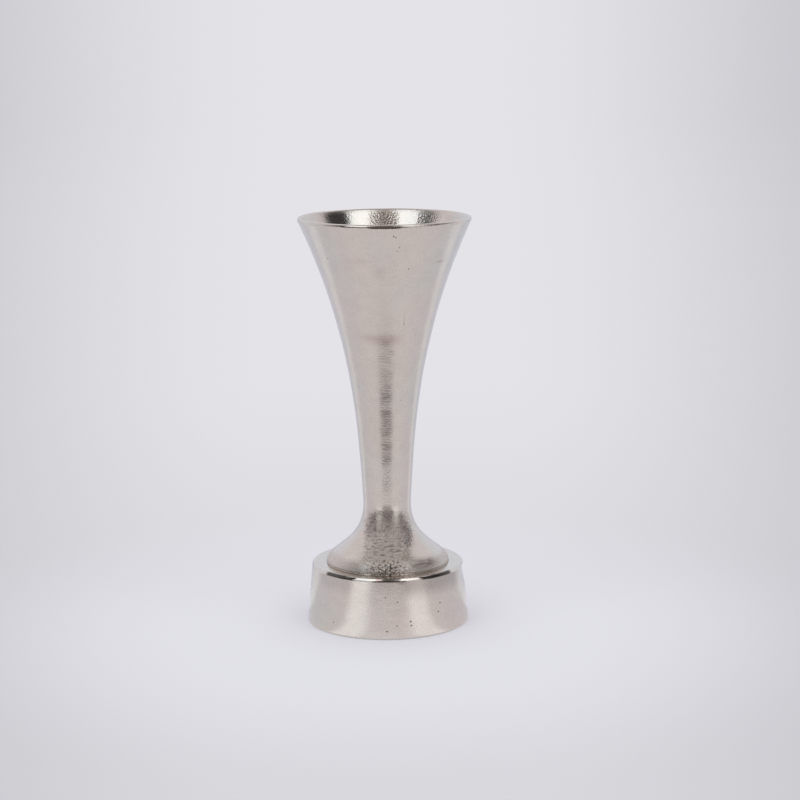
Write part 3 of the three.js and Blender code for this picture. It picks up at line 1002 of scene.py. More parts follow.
def flange_finish(point, edge=0.0):
    """Crumbs in front, buffed beside them and dull further round. edge is the patina of a dull part."""
    patch = crumb_patch(point)
    dull = 1 - FLANGE_BUFFED * buffed_sides(point)
    return values(
        grain=FLANGE_GRAIN * dull + FLANGE_PATCH * patch, strokes=SIDE_STROKES,
        tarnish_and_shade=edge * dull * (1 - patch) + crumb_shade(point), matt=FLANGE_MATT * dull * (1 - patch))


def crease_finish(point):
    """As the flange, with patina held in the crease."""
    return flange_finish(point, CREASE_TARNISH)


VESSEL_FINISHES = {
    "core": core_finish, "flange": flange_finish, "crease": crease_finish, "foot": foot_finish,
    "flare": flare_finish, "lip": lip_finish, "inside": inside_finish}


def vessel_finish(zone, point):
    """The finish values at a point of the vessel."""
    return VESSEL_FINISHES[zone](point)


print("vessel finishes:", ", ".join(VESSEL_FINISHES))

# %% Turn the vessel
VESSEL_AROUND = 480
VESSEL_PITS = [
    (5.9, 321.0, 0.9, 0.2), (7.4, 320.2, 0.8, 0.2), (-50.5, 301.0, 0.8, 0.2), (19.4, 294.1, 0.8, 0.2),
    (21.2, 248.9, 0.7, 0.15), (10.5, 312.0, 0.7, 0.15), (9.2, 309.0, 0.7, 0.12)]

vessel, vessel_places = turned("trumpet_vessel_cast", vessel_stretches(), VESSEL_AROUND, vessel_push)
set_finish(vessel, vessel_places, vessel_finish)
strike_pits(vessel, VESSEL_PITS)
print("vessel:", len(vessel.data.vertices), "points,", len(VESSEL_PITS), "pits")

# %% [markdown]
# ## The plinth
# The plinth is a tapered cup, open below, with a flat ledge and a polished bevel at its shoulder. A hole in
# its top plate takes the vessel's boss, and a rebate below takes the disc that closes it. Two cones and
# a boolean would give the cup, but one closed outline keeps its wall and its hollow in one even skin. Buffing
# has hollowed the wall a little between its two edges.

# %% Draw the plinth
plinth_low, plinth_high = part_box("plinth")
RIM_BOTTOM = plinth_low.z / MM
LEDGE = plinth_high.z / MM
TOE_RADIUS = 66.0
SHOULDER_RADIUS = 61.6
BEVEL_HEIGHT = 1.9
BEVEL_DEPTH = 1.0
BEVEL_EDGE = 0.3
BEVEL_LOW_LEAN, BEVEL_HIGH_LEAN, BEVEL_SHARE, BEVEL_STEPS = -18, -36, 0.33, 10
HOLLOW_SPACING, WALL_SPACING, LEDGE_SPACING = 6.0, 0.8, 1.6
TOE_ROUND = 0.8
WALL_HOLLOW = 0.25
PLINTH_WALL = 6.0
PLATE = 5.0
INNER_ROUND = 4.0
REBATE_RADIUS = 63.0
REBATE_TOP = 4.2
SPIGOT_HOLE = 9.2


def plinth_stretches():
    """The plinth's outline from the hole in its plate, through the hollow, round the outside and back."""
    tall = LEDGE - RIM_BOTTOM

    def wall(height):
        share = (LEDGE - height) / tall
        taper = (TOE_RADIUS - SHOULDER_RADIUS) * share
        return SHOULDER_RADIUS + taper - WALL_HOLLOW * 4 * share * (1 - share)

    def inner(height):
        return wall(height) - PLINTH_WALL

    plate_under = LEDGE - PLATE
    round_foot = plate_under - INNER_ROUND
    toe_top = RIM_BOTTOM + TOE_ROUND
    shoulder_foot = LEDGE - BEVEL_HEIGHT
    bevel_top = (SHOULDER_RADIUS - BEVEL_DEPTH, LEDGE - BEVEL_EDGE)
    ledge_edge = bevel_top[0] - 2 * BEVEL_EDGE
    hollow = [
        (SPIGOT_HOLE, LEDGE), (SPIGOT_HOLE, plate_under),
        *corner((inner(plate_under) - INNER_ROUND, plate_under), (inner(plate_under), plate_under),
                (inner(round_foot), round_foot)),
        *straight((inner(round_foot), round_foot), (inner(REBATE_TOP), REBATE_TOP), HOLLOW_SPACING)[1:],
        (inner(REBATE_TOP), REBATE_TOP), (REBATE_RADIUS, REBATE_TOP), (REBATE_RADIUS, RIM_BOTTOM)]
    toe = corner((TOE_RADIUS - TOE_ROUND, RIM_BOTTOM), (TOE_RADIUS, RIM_BOTTOM), (wall(toe_top), toe_top))
    rises = [height for _, height in straight((0, toe_top), (0, shoulder_foot), WALL_SPACING)[1:]]
    bevel = leaning_curve(
        (wall(shoulder_foot), shoulder_foot), BEVEL_LOW_LEAN, BEVEL_SHARE,
        bevel_top, BEVEL_HIGH_LEAN, BEVEL_SHARE, BEVEL_STEPS)
    shoulder = [*bevel, *corner(bevel_top, (bevel_top[0] - BEVEL_EDGE, LEDGE), (ledge_edge, LEDGE))[1:]]
    ledge = straight((ledge_edge, LEDGE), (SPIGOT_HOLE, LEDGE), LEDGE_SPACING)[1:]
    return [("hollow", hollow), ("toe", toe), ("wall", [(wall(height), height) for height in rises]),
            ("shoulder", shoulder), ("ledge", ledge)]


print("plinth drawn:", round(LEDGE - RIM_BOTTOM, 1), "mm tall,", 2 * TOE_RADIUS, "mm across")

# %% Push and finish the plinth's points
PLINTH_SWELL = {"hollow": 0.0, "toe": 0.08, "wall": 0.10, "shoulder": 0.10, "ledge": 0.0}
WALL_RIPPLE = 0.012
LEDGE_SWELL = 0.05
PLINTH_DENTS = [
    (10.5, 47.6, 3.0, 2.0, -0.2), (88.0, 41.5, 24.0, 9.0, -1.3),
    (88.0, 48.4, 13.0, 2.2, 1.3), (82.0, 6.0, 7.0, 4.0, 0.25)]
# Painted dark reflection on the polished bevel, of the dark room and the dark gap: black at its ends and in
# its middle, and brown just left of the middle.
BEVEL_MIDDLE = 1.0
BEVEL_DARK_ENDS = (28.0, 36.0, 52.0, 56.0)
BEVEL_DARK_MIDDLE, MIDDLE_REFLECTED_DARK = (-6.0, -3.0, 8.0, 11.0), 0.85
BEVEL_BROWN = (-10.0, -8.0, -6.0, -3.0)
# Painted shade near the top of the wall: strong on the right, weaker on the left.
WALL_SHADE, LEFT_SHADE = 0.34, 0.45
RIGHT_SHADE_TURNS, RIGHT_SHADE_HEIGHTS = (6.0, 16.0, 58.0, 76.0), (28.0, 43.0)
LEFT_SHADE_TURNS, LEFT_SHADE_HEIGHTS = (24.0, 30.0, 52.0, 68.0), (30.0, 43.0)


def plinth_push(zone, point):
    """Moves a point of the plinth in or out as the hand work did."""
    depth = PLINTH_SWELL[zone] * swell(point)
    if zone in ("wall", "shoulder", "toe"):
        depth += WALL_RIPPLE * ripple(point) + soft_dents(point, PLINTH_DENTS)
    outward = Vector((point.x, point.y, 0)).normalized()
    lift = Vector((0, 0, -LEDGE_SWELL * abs(swell(point)))) if zone == "ledge" else Vector()
    return point + outward * depth + lift


def plinth_finish(zone, point):
    """The finish values at a point of the plinth."""
    turn = turn_of(point)
    if zone == "shoulder":
        # Painted dark reflection: the bevel's ends and middle darkened, and browned beside the middle.
        ends = between(abs(turn - BEVEL_MIDDLE), *BEVEL_DARK_ENDS)
        middle = between(turn, *BEVEL_DARK_MIDDLE)
        beside = between(turn, *BEVEL_BROWN)
        return values(polish=1.0, tarnish_and_shade=ends + MIDDLE_REFLECTED_DARK * middle, brown=beside)
    if zone == "ledge":
        under_flange = fade(math.hypot(point.x, point.y), FOOT_RADIUS - 1, FOOT_RADIUS + 0.5)
        return values(grain=0.2, polish=0.3, tarnish_and_shade=under_flange, strokes=0.1)
    if zone == "wall":
        # Painted shade near the top of the wall, a dark reflection, stronger on the right.
        right = between(turn, *RIGHT_SHADE_TURNS) * smooth_step(point.z, *RIGHT_SHADE_HEIGHTS)
        left = between(-turn, *LEFT_SHADE_TURNS) * smooth_step(point.z, *LEFT_SHADE_HEIGHTS)
        return values(grain=0.05, strokes=SIDE_STROKES, tarnish_and_shade=WALL_SHADE * (right + LEFT_SHADE * left))
    if zone == "toe":
        return values(grain=0.1, polish=0.5, strokes=SIDE_STROKES)
    return values(grain=1.0, tarnish_and_shade=0.3)


print("plinth finishes:", ", ".join(PLINTH_SWELL))

# %% Turn the plinth
PLINTH_AROUND = 400
PLINTH_PITS = [
    (15.9, 14.1, 0.9, 0.3), (16.3, 10.9, 0.8, 0.3), (-1.0, 7.1, 0.8, 0.25), (6.8, 30.4, 0.7, 0.2),
    (40.6, 25.6, 0.9, 0.2), (38.6, 18.8, 0.9, 0.25), (-1.9, 34.1, 0.7, 0.15), (6.0, 11.4, 0.6, 0.15),
    (-42.3, 10.0, 0.8, 0.2)]

plinth, plinth_places = turned("plinth_cast", plinth_stretches(), PLINTH_AROUND, plinth_push, loop_rows=True)
set_finish(plinth, plinth_places, plinth_finish)
strike_pits(plinth, PLINTH_PITS)
print("plinth:", len(plinth.data.vertices), "points,", len(PLINTH_PITS), "pits")

# %% [markdown]
# ## Shared effects
# Some effects belong to more than one finish: fine grain, lines left by turning and buffing, and slow
# changes of tint. Each is a node group with named inputs, built once and placed in every material that
# needs it with its own values. Copies of the nodes in every material would drift apart. Sizes are real:
# a grain size of 0.001 is one millimetre.

# %% Node group helpers


def new_group(name, inputs, outputs):
    """An empty shader group. Gives it with its inner inputs to read and its inner outputs to fill."""
    group = bpy.data.node_groups.new(name, "ShaderNodeTree")
    for title, value in inputs.items():
        kind = "NodeSocketColor" if isinstance(value, tuple) else "NodeSocketFloat"
        group.interface.new_socket(title, in_out="INPUT", socket_type=kind).default_value = value
    for title, kind in outputs.items():
        group.interface.new_socket(title, in_out="OUTPUT", socket_type=kind)
    entry = group.nodes.new("NodeGroupInput").outputs
    leave = group.nodes.new("NodeGroupOutput").inputs
    return group, entry, leave


def place_group(tree, group, sockets):
    """Puts a group into a material and gives its outputs."""
    return add_node(tree, "ShaderNodeGroup", sockets, node_tree=group).outputs


def object_place(tree):
    """The shaded point in the piece's own space, in metres."""
    return add_node(tree, "ShaderNodeTexCoord").outputs["Object"]


def new_material(name):
    """An empty finish: the material, its node tree and its surface shader."""
    material = bpy.data.materials.new(name)
    material.use_nodes = True
    return material, material.node_tree, material.node_tree.nodes["Principled BSDF"]


def fill_shader(tree, shader, colour, roughness, height):
    """Gives a surface its colour, its roughness and a bump whose height is in metres."""
    bump = add_node(tree, "ShaderNodeBump", {"Height": height, "Strength": 1.0, "Distance": 1.0})
    for socket, value in (("Base Color", colour), ("Roughness", roughness), ("Normal", bump.outputs[0])):
        fill_socket(tree, shader.inputs[socket], value)


print("group and material helpers ready")

# %% Fine grain group
CELL_SHARE, CELL_SINK = 0.6, 0.6
GRAIN_LIFT = 0.3


def make_fine_grain():
    """Crumbs and dimples of one size, as sand leaves them in a casting. Height is from 0 to 1."""
    group, entry, leave = new_group("fine_grain", {"Grain size": 0.001}, {"Height": "NodeSocketFloat"})
    scale = maths(group, "DIVIDE", 1.0, entry["Grain size"])
    place = object_place(group)
    dimples = noise_texture(group, place, scale, 2.0)
    coarse = maths(group, "MULTIPLY", scale, CELL_SHARE)
    cells = add_node(group, "ShaderNodeTexVoronoi", {"Vector": place, "Scale": coarse}).outputs["Distance"]
    height = maths(group, "SUBTRACT", dimples, maths(group, "MULTIPLY", cells, CELL_SINK))
    fill_socket(group, leave["Height"], maths(group, "ADD", height, GRAIN_LIFT, clamp=True))
    return group


fine_grain = make_fine_grain()
print("group", fine_grain.name)

# %% Turning lines group


def make_turning_lines():
    """Fine lines round the axis, as a lathe or a buff leaves them. Height is from 0 to 1."""
    group, entry, leave = new_group(
        "turning_lines", {"Spacing": 0.0005, "Breaks": 4.0}, {"Height": "NodeSocketFloat"})
    parts = add_node(group, "ShaderNodeSeparateXYZ", {0: object_place(group)})
    level = add_node(group, "ShaderNodeCombineXYZ", {"X": parts.outputs["X"], "Y": parts.outputs["Y"]})
    way = vector_maths(group, "NORMALIZE", {0: level.outputs[0]})
    span = vector_maths(group, "LENGTH", {0: level.outputs[0]}, "Value")
    along = maths(group, "DIVIDE", maths(group, "ADD", parts.outputs["Z"], span), entry["Spacing"])
    flat = add_node(group, "ShaderNodeSeparateXYZ", {0: vector_maths(
        group, "SCALE", {0: way, "Scale": entry["Breaks"]})})
    place = add_node(group, "ShaderNodeCombineXYZ", {
        "X": flat.outputs["X"], "Y": flat.outputs["Y"], "Z": along})
    fill_socket(group, leave["Height"], noise_texture(group, place.outputs[0], 1.0, 3.0))
    return group


turning_lines = make_turning_lines()
print("group", turning_lines.name)

# %% Tint mottle group
PATCH_LIMITS = (0.36, 0.64)
CLOUD_FINER, CLOUD_LIMITS = 5.0, (0.35, 0.7)
SPECK_FINER, SPECK_LIMITS = 45.0, (0.4, 0.75)


def make_tint_mottle():
    """Slow patches of a warmer and a cooler tint over a colour, with a finer cloud and fine specks."""
    inputs = {"Colour": (0.5, 0.5, 0.5, 1), "Warm": (1.0, 1.0, 1.0, 1), "Cool": (1.0, 1.0, 1.0, 1),
              "Patch size": 0.02, "Cloud": 0.1, "Specks": 0.1}
    outputs = {"Colour": "NodeSocketColor", "Patch": "NodeSocketFloat"}
    group, entry, leave = new_group("tint_mottle", inputs, outputs)
    scale = maths(group, "DIVIDE", 1.0, entry["Patch size"])
    place = object_place(group)
    share = ease(group, noise_texture(group, place, scale, 3.0), *PATCH_LIMITS)
    tint = blend_colours(group, share, entry["Cool"], entry["Warm"])
    tinted = blend_colours(group, 1.0, entry["Colour"], tint, "MULTIPLY")
    clouds = noise_texture(group, place, maths(group, "MULTIPLY", scale, CLOUD_FINER), 4.0)
    dimmer = maths(group, "MULTIPLY", ease(group, clouds, *CLOUD_LIMITS), entry["Cloud"])
    specks = noise_texture(group, place, maths(group, "MULTIPLY", scale, SPECK_FINER), 1.0)
    dimmer = maths(group, "MULTIPLY_ADD", ease(group, specks, *SPECK_LIMITS), entry["Specks"], dimmer)
    dimmed = blend_colours(group, dimmer, tinted, (0.0, 0.0, 0.0, 1))
    fill_socket(group, leave["Colour"], dimmed)
    fill_socket(group, leave["Patch"], share)
    return group


tint_mottle = make_tint_mottle()
print("group", tint_mottle.name)

# %% [markdown]
# ## The nickel finish
# Warm, satin and slightly blotchy: nickel over a hand-buffed casting. The colour drifts between a pinkish
# and a greenish grey. Bump works in real metres here, because its distance is 1 and the heights are tiny:
# sand grain some tenths of a millimetre deep, file strokes some hundredths, buffing lines a few thousandths.
# The finish values on the points say how much of each there is, and how rough, how brown and how tarnished
# the metal is, and where shade and dark reflections are painted into its colour. The sand grain's dimples
# get painted shade too. A material for each zone would leave hard borders, so one material serves both
# castings.

# %% Mix the nickel
NICKEL = (0.76, 0.70, 0.635, 1)
NICKEL_WARM = (1.02, 0.987, 0.98, 1)
NICKEL_COOL = (0.987, 0.997, 0.99, 1)
NICKEL_TARNISH_AND_SHADE = (0.07, 0.058, 0.05, 1)
NICKEL_BROWN = (0.53, 0.41, 0.375, 1)
NICKEL_PATCH = 0.045
NICKEL_CLOUD, NICKEL_SPECKS = 0.04, 0.08
SATIN_LOW, SATIN_HIGH = 0.135, 0.17
GRAIN_ROUGHNESS = 0.10
MATT_ROUGHNESS = 0.4
TARNISH_AND_SHADE_ROUGHNESS = 0.2
TARNISH_AND_SHADE_COVER = 0.92
POLISH_STEP = 0.10
GRAIN_SIZE = 0.0012
GRAIN_DEPTH = 0.0004
GRAIN_SHADE, SHADE_LIMITS = 0.2, (0.65, 0.25)
STROKE_SPACING = 0.0013
STROKE_DEPTH = 0.00005
LINE_SPACING = 0.0006
LINE_DEPTH = 0.0000025
LINE_BREAKS = 5.0
PINHOLE_CELL = 0.006
PINHOLE_DEPTH = 0.00004
PINHOLE_TARNISH = 0.7
PINHOLE_ABOVE = 0.89
PINHOLE_LIMITS = (0.10, 0.03)


def attribute(tree, name):
    """A finish value that was stored on the points."""
    return add_node(tree, "ShaderNodeAttribute", attribute_name=name).outputs["Fac"]


def pinholes(tree):
    """A few tiny gas holes: cells, of which one in nine holds a hole in its middle."""
    scale = 1 / PINHOLE_CELL
    cells = add_node(tree, "ShaderNodeTexVoronoi", {"Vector": object_place(tree), "Scale": scale})
    chance = add_node(tree, "ShaderNodeSeparateColor", {0: cells.outputs["Color"]}).outputs[0]
    chosen = maths(tree, "GREATER_THAN", chance, PINHOLE_ABOVE)
    return maths(tree, "MULTIPLY", chosen, ease(tree, cells.outputs["Distance"], *PINHOLE_LIMITS))


def mix_nickel():
    """The cast nickel material."""
    material, tree, shader = new_material("cast_nickel")
    grain, polish, tarnish_and_shade, strokes, matt, brown = (attribute(tree, name) for name in FINISHES)
    tint = place_group(tree, tint_mottle, {
        "Colour": NICKEL, "Warm": NICKEL_WARM, "Cool": NICKEL_COOL, "Patch size": NICKEL_PATCH,
        "Cloud": NICKEL_CLOUD, "Specks": NICKEL_SPECKS})
    holes = pinholes(tree)
    # Real tarnish, and painted shade and painted dark reflections, from the stored darkening value.
    dulled = maths(tree, "MAXIMUM", tarnish_and_shade, maths(tree, "MULTIPLY", holes, PINHOLE_TARNISH))
    sand = place_group(tree, fine_grain, {"Grain size": GRAIN_SIZE})["Height"]
    # Painted shade in the sand grain's dimples, standing in for the shadowing of a rough surface.
    shade = maths(tree, "MULTIPLY", grain, GRAIN_SHADE)
    shade = maths(tree, "MULTIPLY", shade, ease(tree, sand, *SHADE_LIMITS))
    colour = blend_colours(tree, brown, tint["Colour"], NICKEL_BROWN)
    colour = blend_colours(tree, maths(tree, "MULTIPLY", dulled, TARNISH_AND_SHADE_COVER), colour, NICKEL_TARNISH_AND_SHADE)
    colour = blend_colours(tree, shade, colour, NICKEL_TARNISH_AND_SHADE)
    rough = ease(tree, tint["Patch"], 0.0, 1.0, SATIN_LOW, SATIN_HIGH)
    rough = maths(tree, "MULTIPLY_ADD", grain, GRAIN_ROUGHNESS, rough)
    rough = maths(tree, "MULTIPLY_ADD", dulled, TARNISH_AND_SHADE_ROUGHNESS, rough)
    rough = maths(tree, "MULTIPLY_ADD", matt, MATT_ROUGHNESS, rough)
    rough = maths(tree, "MULTIPLY_ADD", polish, -POLISH_STEP, rough, clamp=True)
    lines = place_group(tree, turning_lines, {"Spacing": LINE_SPACING, "Breaks": LINE_BREAKS})["Height"]
    filed = place_group(tree, turning_lines, {"Spacing": STROKE_SPACING, "Breaks": LINE_BREAKS})["Height"]
    height = maths(tree, "MULTIPLY", maths(tree, "MULTIPLY", sand, grain), GRAIN_DEPTH)
    height = maths(tree, "MULTIPLY_ADD", lines, LINE_DEPTH, height)
    height = maths(tree, "MULTIPLY_ADD", maths(tree, "MULTIPLY", filed, strokes), STROKE_DEPTH, height)
    height = maths(tree, "MULTIPLY_ADD", holes, -PINHOLE_DEPTH, height)
    fill_shader(tree, shader, colour, rough, height)
    shader.inputs["Metallic"].default_value = 1.0
    return material


cast_nickel = mix_nickel()
print("material", cast_nickel.name)

# %% Dress the castings


def dress(piece, node, material):
    """Gives a piece its material, and puts it in place of its CAD node."""
    piece.data.materials.append(material)
    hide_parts(node)
    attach(piece, "root")


dress(vessel, "trumpet_vessel", cast_nickel)
dress(plinth, "plinth", cast_nickel)
print("castings dressed")

# %% [markdown]
# ## The hidden tie
# A stud in the vessel's boss passes through the plinth's plate. A large washer, a split spring washer and a
# nut below draw the two castings together. This is bought hardware, so it is regular where the castings are
# not. A Screw modifier could wind the thread from a saw-tooth. Here the grid builder does it: each point's
# radius depends on its height and its turn, and that is a helix.

# %% Cut the stud
stud_bottom, stud_top = (point.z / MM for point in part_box("tie_stud"))
STUD_RADIUS = 4.0
THREAD_PITCH = 1.25
THREAD_DEPTH = 0.72
CREST_SHARE = 0.2
STUD_CHAMFER = 0.8
ROWS_PER_PITCH = 10
STUD_AROUND = 48


def shaped_ring(height, around, radius_at):
    """One row of a grid whose radius depends on the turn."""
    row = []
    for index, point in enumerate(ring(1, height, around)):
        radius = radius_at(2 * math.pi * index / around)
        row.append(Vector((point.x * radius, point.y * radius, height)))
    return row


def thread_row(height):
    """One row of the stud: a right-hand thread, cut down by the chamfer at each end."""
    limit = STUD_RADIUS - STUD_CHAMFER + min(height - stud_bottom, stud_top - height)

    def radius_at(turn):
        share = (height / THREAD_PITCH - turn / (2 * math.pi)) % 1
        slope = (abs(2 * share - 1) - CREST_SHARE) / (1 - 2 * CREST_SHARE)
        return min(STUD_RADIUS - THREAD_DEPTH * min(max(slope, 0), 1), limit)

    return shaped_ring(height, STUD_AROUND, radius_at)


def cut_stud():
    """The whole stud, with a flat end at the bottom and the top."""
    count = round((stud_top - stud_bottom) / THREAD_PITCH * ROWS_PER_PITCH)
    heights = [stud_bottom + (stud_top - stud_bottom) * step / count for step in range(count + 1)]
    ends = [[Vector((0, 0, height))] for height in (stud_bottom, stud_top)]
    return skin("tie_stud_threaded", [ends[0], *(thread_row(height) for height in heights), ends[1]])


stud = cut_stud()
thread_turns = round((stud_top - stud_bottom) / THREAD_PITCH)
print("stud:", len(stud.data.vertices), "points,", thread_turns, "turns of thread")

# %% [markdown]
# ### The nut
# A nut is a hexagon whose corners are turned off by a cone at both ends, which leaves the curved edge on
# each flat. A boolean of a prism and a cone gives the same. Taking the smaller of the two radii at each
# point is shorter, and keeps the faces tidy.

# %% Shape the nut
nut_bottom, nut_top = (point.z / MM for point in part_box("hex_nut"))
NUT_FLAT = 6.6
NUT_BORE = 4.1
NUT_SINK = 0.5
NUT_FACE = 6.25
NUT_CONE = math.tan(math.radians(60))
NUT_AROUND = 96
CHAMFER_STEPS = [0.0, 0.12, 0.24, 0.36, 0.5, 0.65, 0.82]
EDGE_ANGLE = math.radians(32)


def hexagon_row(height):
    """One row of the nut's side."""
    cone = NUT_FACE + NUT_CONE * min(height - nut_bottom, nut_top - height)
    sixth = math.pi / 3

    def radius_at(turn):
        return min(NUT_FLAT / math.cos((turn + sixth / 2) % sixth - sixth / 2), cone)

    return shaped_ring(height, NUT_AROUND, radius_at)


def shape_nut():
    """The nut, from its countersunk bore round the outside and back."""
    bore = [(NUT_BORE + NUT_SINK, nut_top), (NUT_BORE, nut_top - NUT_SINK), (NUT_BORE, nut_bottom + NUT_SINK),
            (NUT_BORE + NUT_SINK, nut_bottom)]
    middle = (nut_bottom + nut_top) / 2
    side = [nut_bottom + step for step in CHAMFER_STEPS] + [middle]
    side += [nut_top - step for step in reversed(CHAMFER_STEPS)]
    grid = [ring(radius, height, NUT_AROUND) for radius, height in bore]
    piece = skin("hex_nut_chamfered", grid + [hexagon_row(height) for height in side], loop_rows=True)
    piece.data.set_sharp_from_angle(angle=EDGE_ANGLE)
    return piece


nut = shape_nut()
print("nut:", 2 * NUT_FLAT, "mm across flats")

# %% [markdown]
# ### The washers
# The large washer is punched: the punch drags one edge over and leaves the other sharp. The spring washer
# is bent from rectangular wire, so its section is swept round by hand and closed at both cut ends. The cut
# is slanted, because that is what bites into the nut.

# %% Punch the washer and bend the spring washer
washer_bottom, washer_top = (point.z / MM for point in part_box("plain_washer"))
WASHER_BORE, WASHER_RADIUS = 4.2, 12.0
PUNCH_ROUND = 0.4
spring_bottom, spring_top = (point.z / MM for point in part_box("spring_washer"))
SPRING_BORE, SPRING_RADIUS = 4.2, 7.4
SPRING_EDGE = 0.3
SPRING_EDGE_STEPS = 4
SPLIT_HALF_GAP = 0.8
SPLIT_SLANT = 0.3
SPRING_STEPS = 84


def punch_washer():
    """A flat ring with one dragged edge on each side of the cut."""
    outline = [
        (WASHER_BORE, washer_bottom),
        *corner((WASHER_BORE, washer_top - PUNCH_ROUND), (WASHER_BORE, washer_top),
                (WASHER_BORE + PUNCH_ROUND, washer_top)),
        *straight((WASHER_BORE + 1, washer_top), (WASHER_RADIUS - 1, washer_top), 1),
        *corner((WASHER_RADIUS - PUNCH_ROUND, washer_top), (WASHER_RADIUS, washer_top),
                (WASHER_RADIUS, washer_top - PUNCH_ROUND)),
        (WASHER_RADIUS, washer_bottom)]
    piece, _ = turned("plain_washer_punched", [("washer", outline)], NUT_AROUND, loop_rows=True)
    piece.data.set_sharp_from_angle(angle=EDGE_ANGLE)
    return piece


def spring_section():
    """The wire's section: a rectangle with rounded edges, as radius and height."""
    sides = ((SPRING_BORE, spring_bottom), (SPRING_RADIUS, spring_bottom), (SPRING_RADIUS, spring_top),
             (SPRING_BORE, spring_top))
    points = []
    for before, here, after in zip((sides[-1], *sides), sides, (*sides[1:], sides[0])):
        ways = [(Vector(other) - Vector(here)).normalized() for other in (before, after)]
        start, end = (Vector(here) + way * SPRING_EDGE for way in ways)
        points += corner(start, here, end, SPRING_EDGE_STEPS)
    return points


def bend_spring_washer():
    """The section swept round from one cut end to the other."""
    section = spring_section()
    middle = (spring_bottom + spring_top) / 2
    gap = SPLIT_HALF_GAP / SPRING_BORE
    rows = []
    for step in range(SPRING_STEPS + 1):
        turn = gap + (2 * math.pi - 2 * gap) * step / SPRING_STEPS
        row = []
        for radius, height in section:
            slanted = turn + SPLIT_SLANT * (height - middle) / radius
            row.append(Vector((radius * math.cos(slanted), radius * math.sin(slanted), height)))
        rows.append(row)
    ends = [[sum(row, Vector()) / len(row)] for row in (rows[0], rows[-1])]
    piece = skin("spring_washer_bent", [ends[0], *rows, ends[1]])
    piece.data.set_sharp_from_angle(angle=EDGE_ANGLE)
    return piece


washer = punch_washer()
spring_washer = bend_spring_washer()
print("washers:", 2 * WASHER_RADIUS, "and", 2 * SPRING_RADIUS, "mm across")

# %% [markdown]
# ### Zinc and spring steel
# Zinc plate is a cool grey with a faint drift from blue to yellow and fine lines from rolling. Spring steel
# is blued and oiled, so it is darker and drifts from brown to blue. A plain grey metal would do for hidden
# hardware, but the shared groups cost nothing more. Neither steel is worn bright, because nobody reaches it.

# %% Mix the steels
ZINC, ZINC_WARM, ZINC_COOL = (0.66, 0.68, 0.70, 1), (1.03, 1.0, 0.93, 1), (0.93, 0.98, 1.05, 1)
BLUED, BLUED_WARM, BLUED_COOL = (0.28, 0.27, 0.26, 1), (1.12, 0.96, 0.84, 1), (0.8, 0.92, 1.15, 1)
STEEL_CLOUD, STEEL_SPECKS = 0.12, 0.15
STEEL_LINES, STEEL_BREAKS = 0.0003, 9.0
STEEL_GRAIN, STEEL_GRAIN_SHARE = 0.0004, 0.5


def mix_steel(name, colour, warm, cool, patch, roughness, line_depth):
    """A plated or blued steel. patch is the size of its drifts of tint in metres."""
    material, tree, shader = new_material(name)
    tint = place_group(tree, tint_mottle, {
        "Colour": colour, "Warm": warm, "Cool": cool, "Patch size": patch,
        "Cloud": STEEL_CLOUD, "Specks": STEEL_SPECKS})
    lines = place_group(tree, turning_lines, {"Spacing": STEEL_LINES, "Breaks": STEEL_BREAKS})["Height"]
    grain = place_group(tree, fine_grain, {"Grain size": STEEL_GRAIN})["Height"]
    rough = ease(tree, maths(tree, "ADD", lines, tint["Patch"]), 0.3, 1.4, roughness - 0.06, roughness + 0.12)
    height = maths(tree, "MULTIPLY_ADD", grain, STEEL_GRAIN_SHARE, lines)
    fill_shader(tree, shader, tint["Colour"], rough, maths(tree, "MULTIPLY", height, line_depth))
    shader.inputs["Metallic"].default_value = 1.0
    return material


zinc_plate = mix_steel(
    "zinc_plate", ZINC, ZINC_WARM, ZINC_COOL, patch=0.004, roughness=0.27, line_depth=0.000012)
blued_steel = mix_steel(
    "blued_spring_steel", BLUED, BLUED_WARM, BLUED_COOL, patch=0.003, roughness=0.36, line_depth=0.000016)
for piece, node in ((stud, "tie_stud"), (washer, "plain_washer"), (nut, "hex_nut")):
    dress(piece, node, zinc_plate)
dress(spring_washer, "spring_washer", blued_steel)
print("materials", zinc_plate.name, "and", blued_steel.name)

# %% [markdown]
# ## Board and felt
# A pressed fibre disc closes the plinth's hollow, and a felt disc glued to it keeps the table safe. Felt
# could be particles of hair on a plane, but those don't export. So it is a thin sheet with an uneven pressed
# face and a softly cut edge, and some loose fibres lie on it as real strands. The pushes only go inward, so
# that neither disc leaves its place.

# %% Shape the two discs
board_bottom, board_top = (point.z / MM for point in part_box("base_board"))
felt_bottom, felt_top = (point.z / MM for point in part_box("felt_disc"))
DISC_RADIUS = 62.7
DISC_AROUND = 260
BOARD_EDGE = 0.4
BOARD_ROUGH = 0.05
FELT_EDGE = 0.45
FELT_LOFT = 0.16
FELT_TRIM = 0.3
LUMP_SPACING = 1.9


def disc_outline(bottom, top, edge, spacing):
    """A flat disc's outline from the middle of its top, round its softened edge, to the middle below."""
    flat = DISC_RADIUS - edge
    upper = straight((0, top), (flat, top), spacing)
    side = corner((flat, top), (DISC_RADIUS, top), (DISC_RADIUS, top - edge))
    side += corner((DISC_RADIUS, bottom + edge), (DISC_RADIUS, bottom), (flat, bottom))
    return upper + side + [(radius, bottom) for radius, _ in reversed(upper)]


def lumps(point):
    """Slow and fast unevenness of pressed fibre, from 0 to 1."""
    level = Vector((point.x, point.y, 0))
    value = noise.noise(level / LUMP_SPACING) + 0.6 * noise.noise(level * 0.3 / LUMP_SPACING)
    return min(max(0.5 + 0.45 * value, 0), 1)


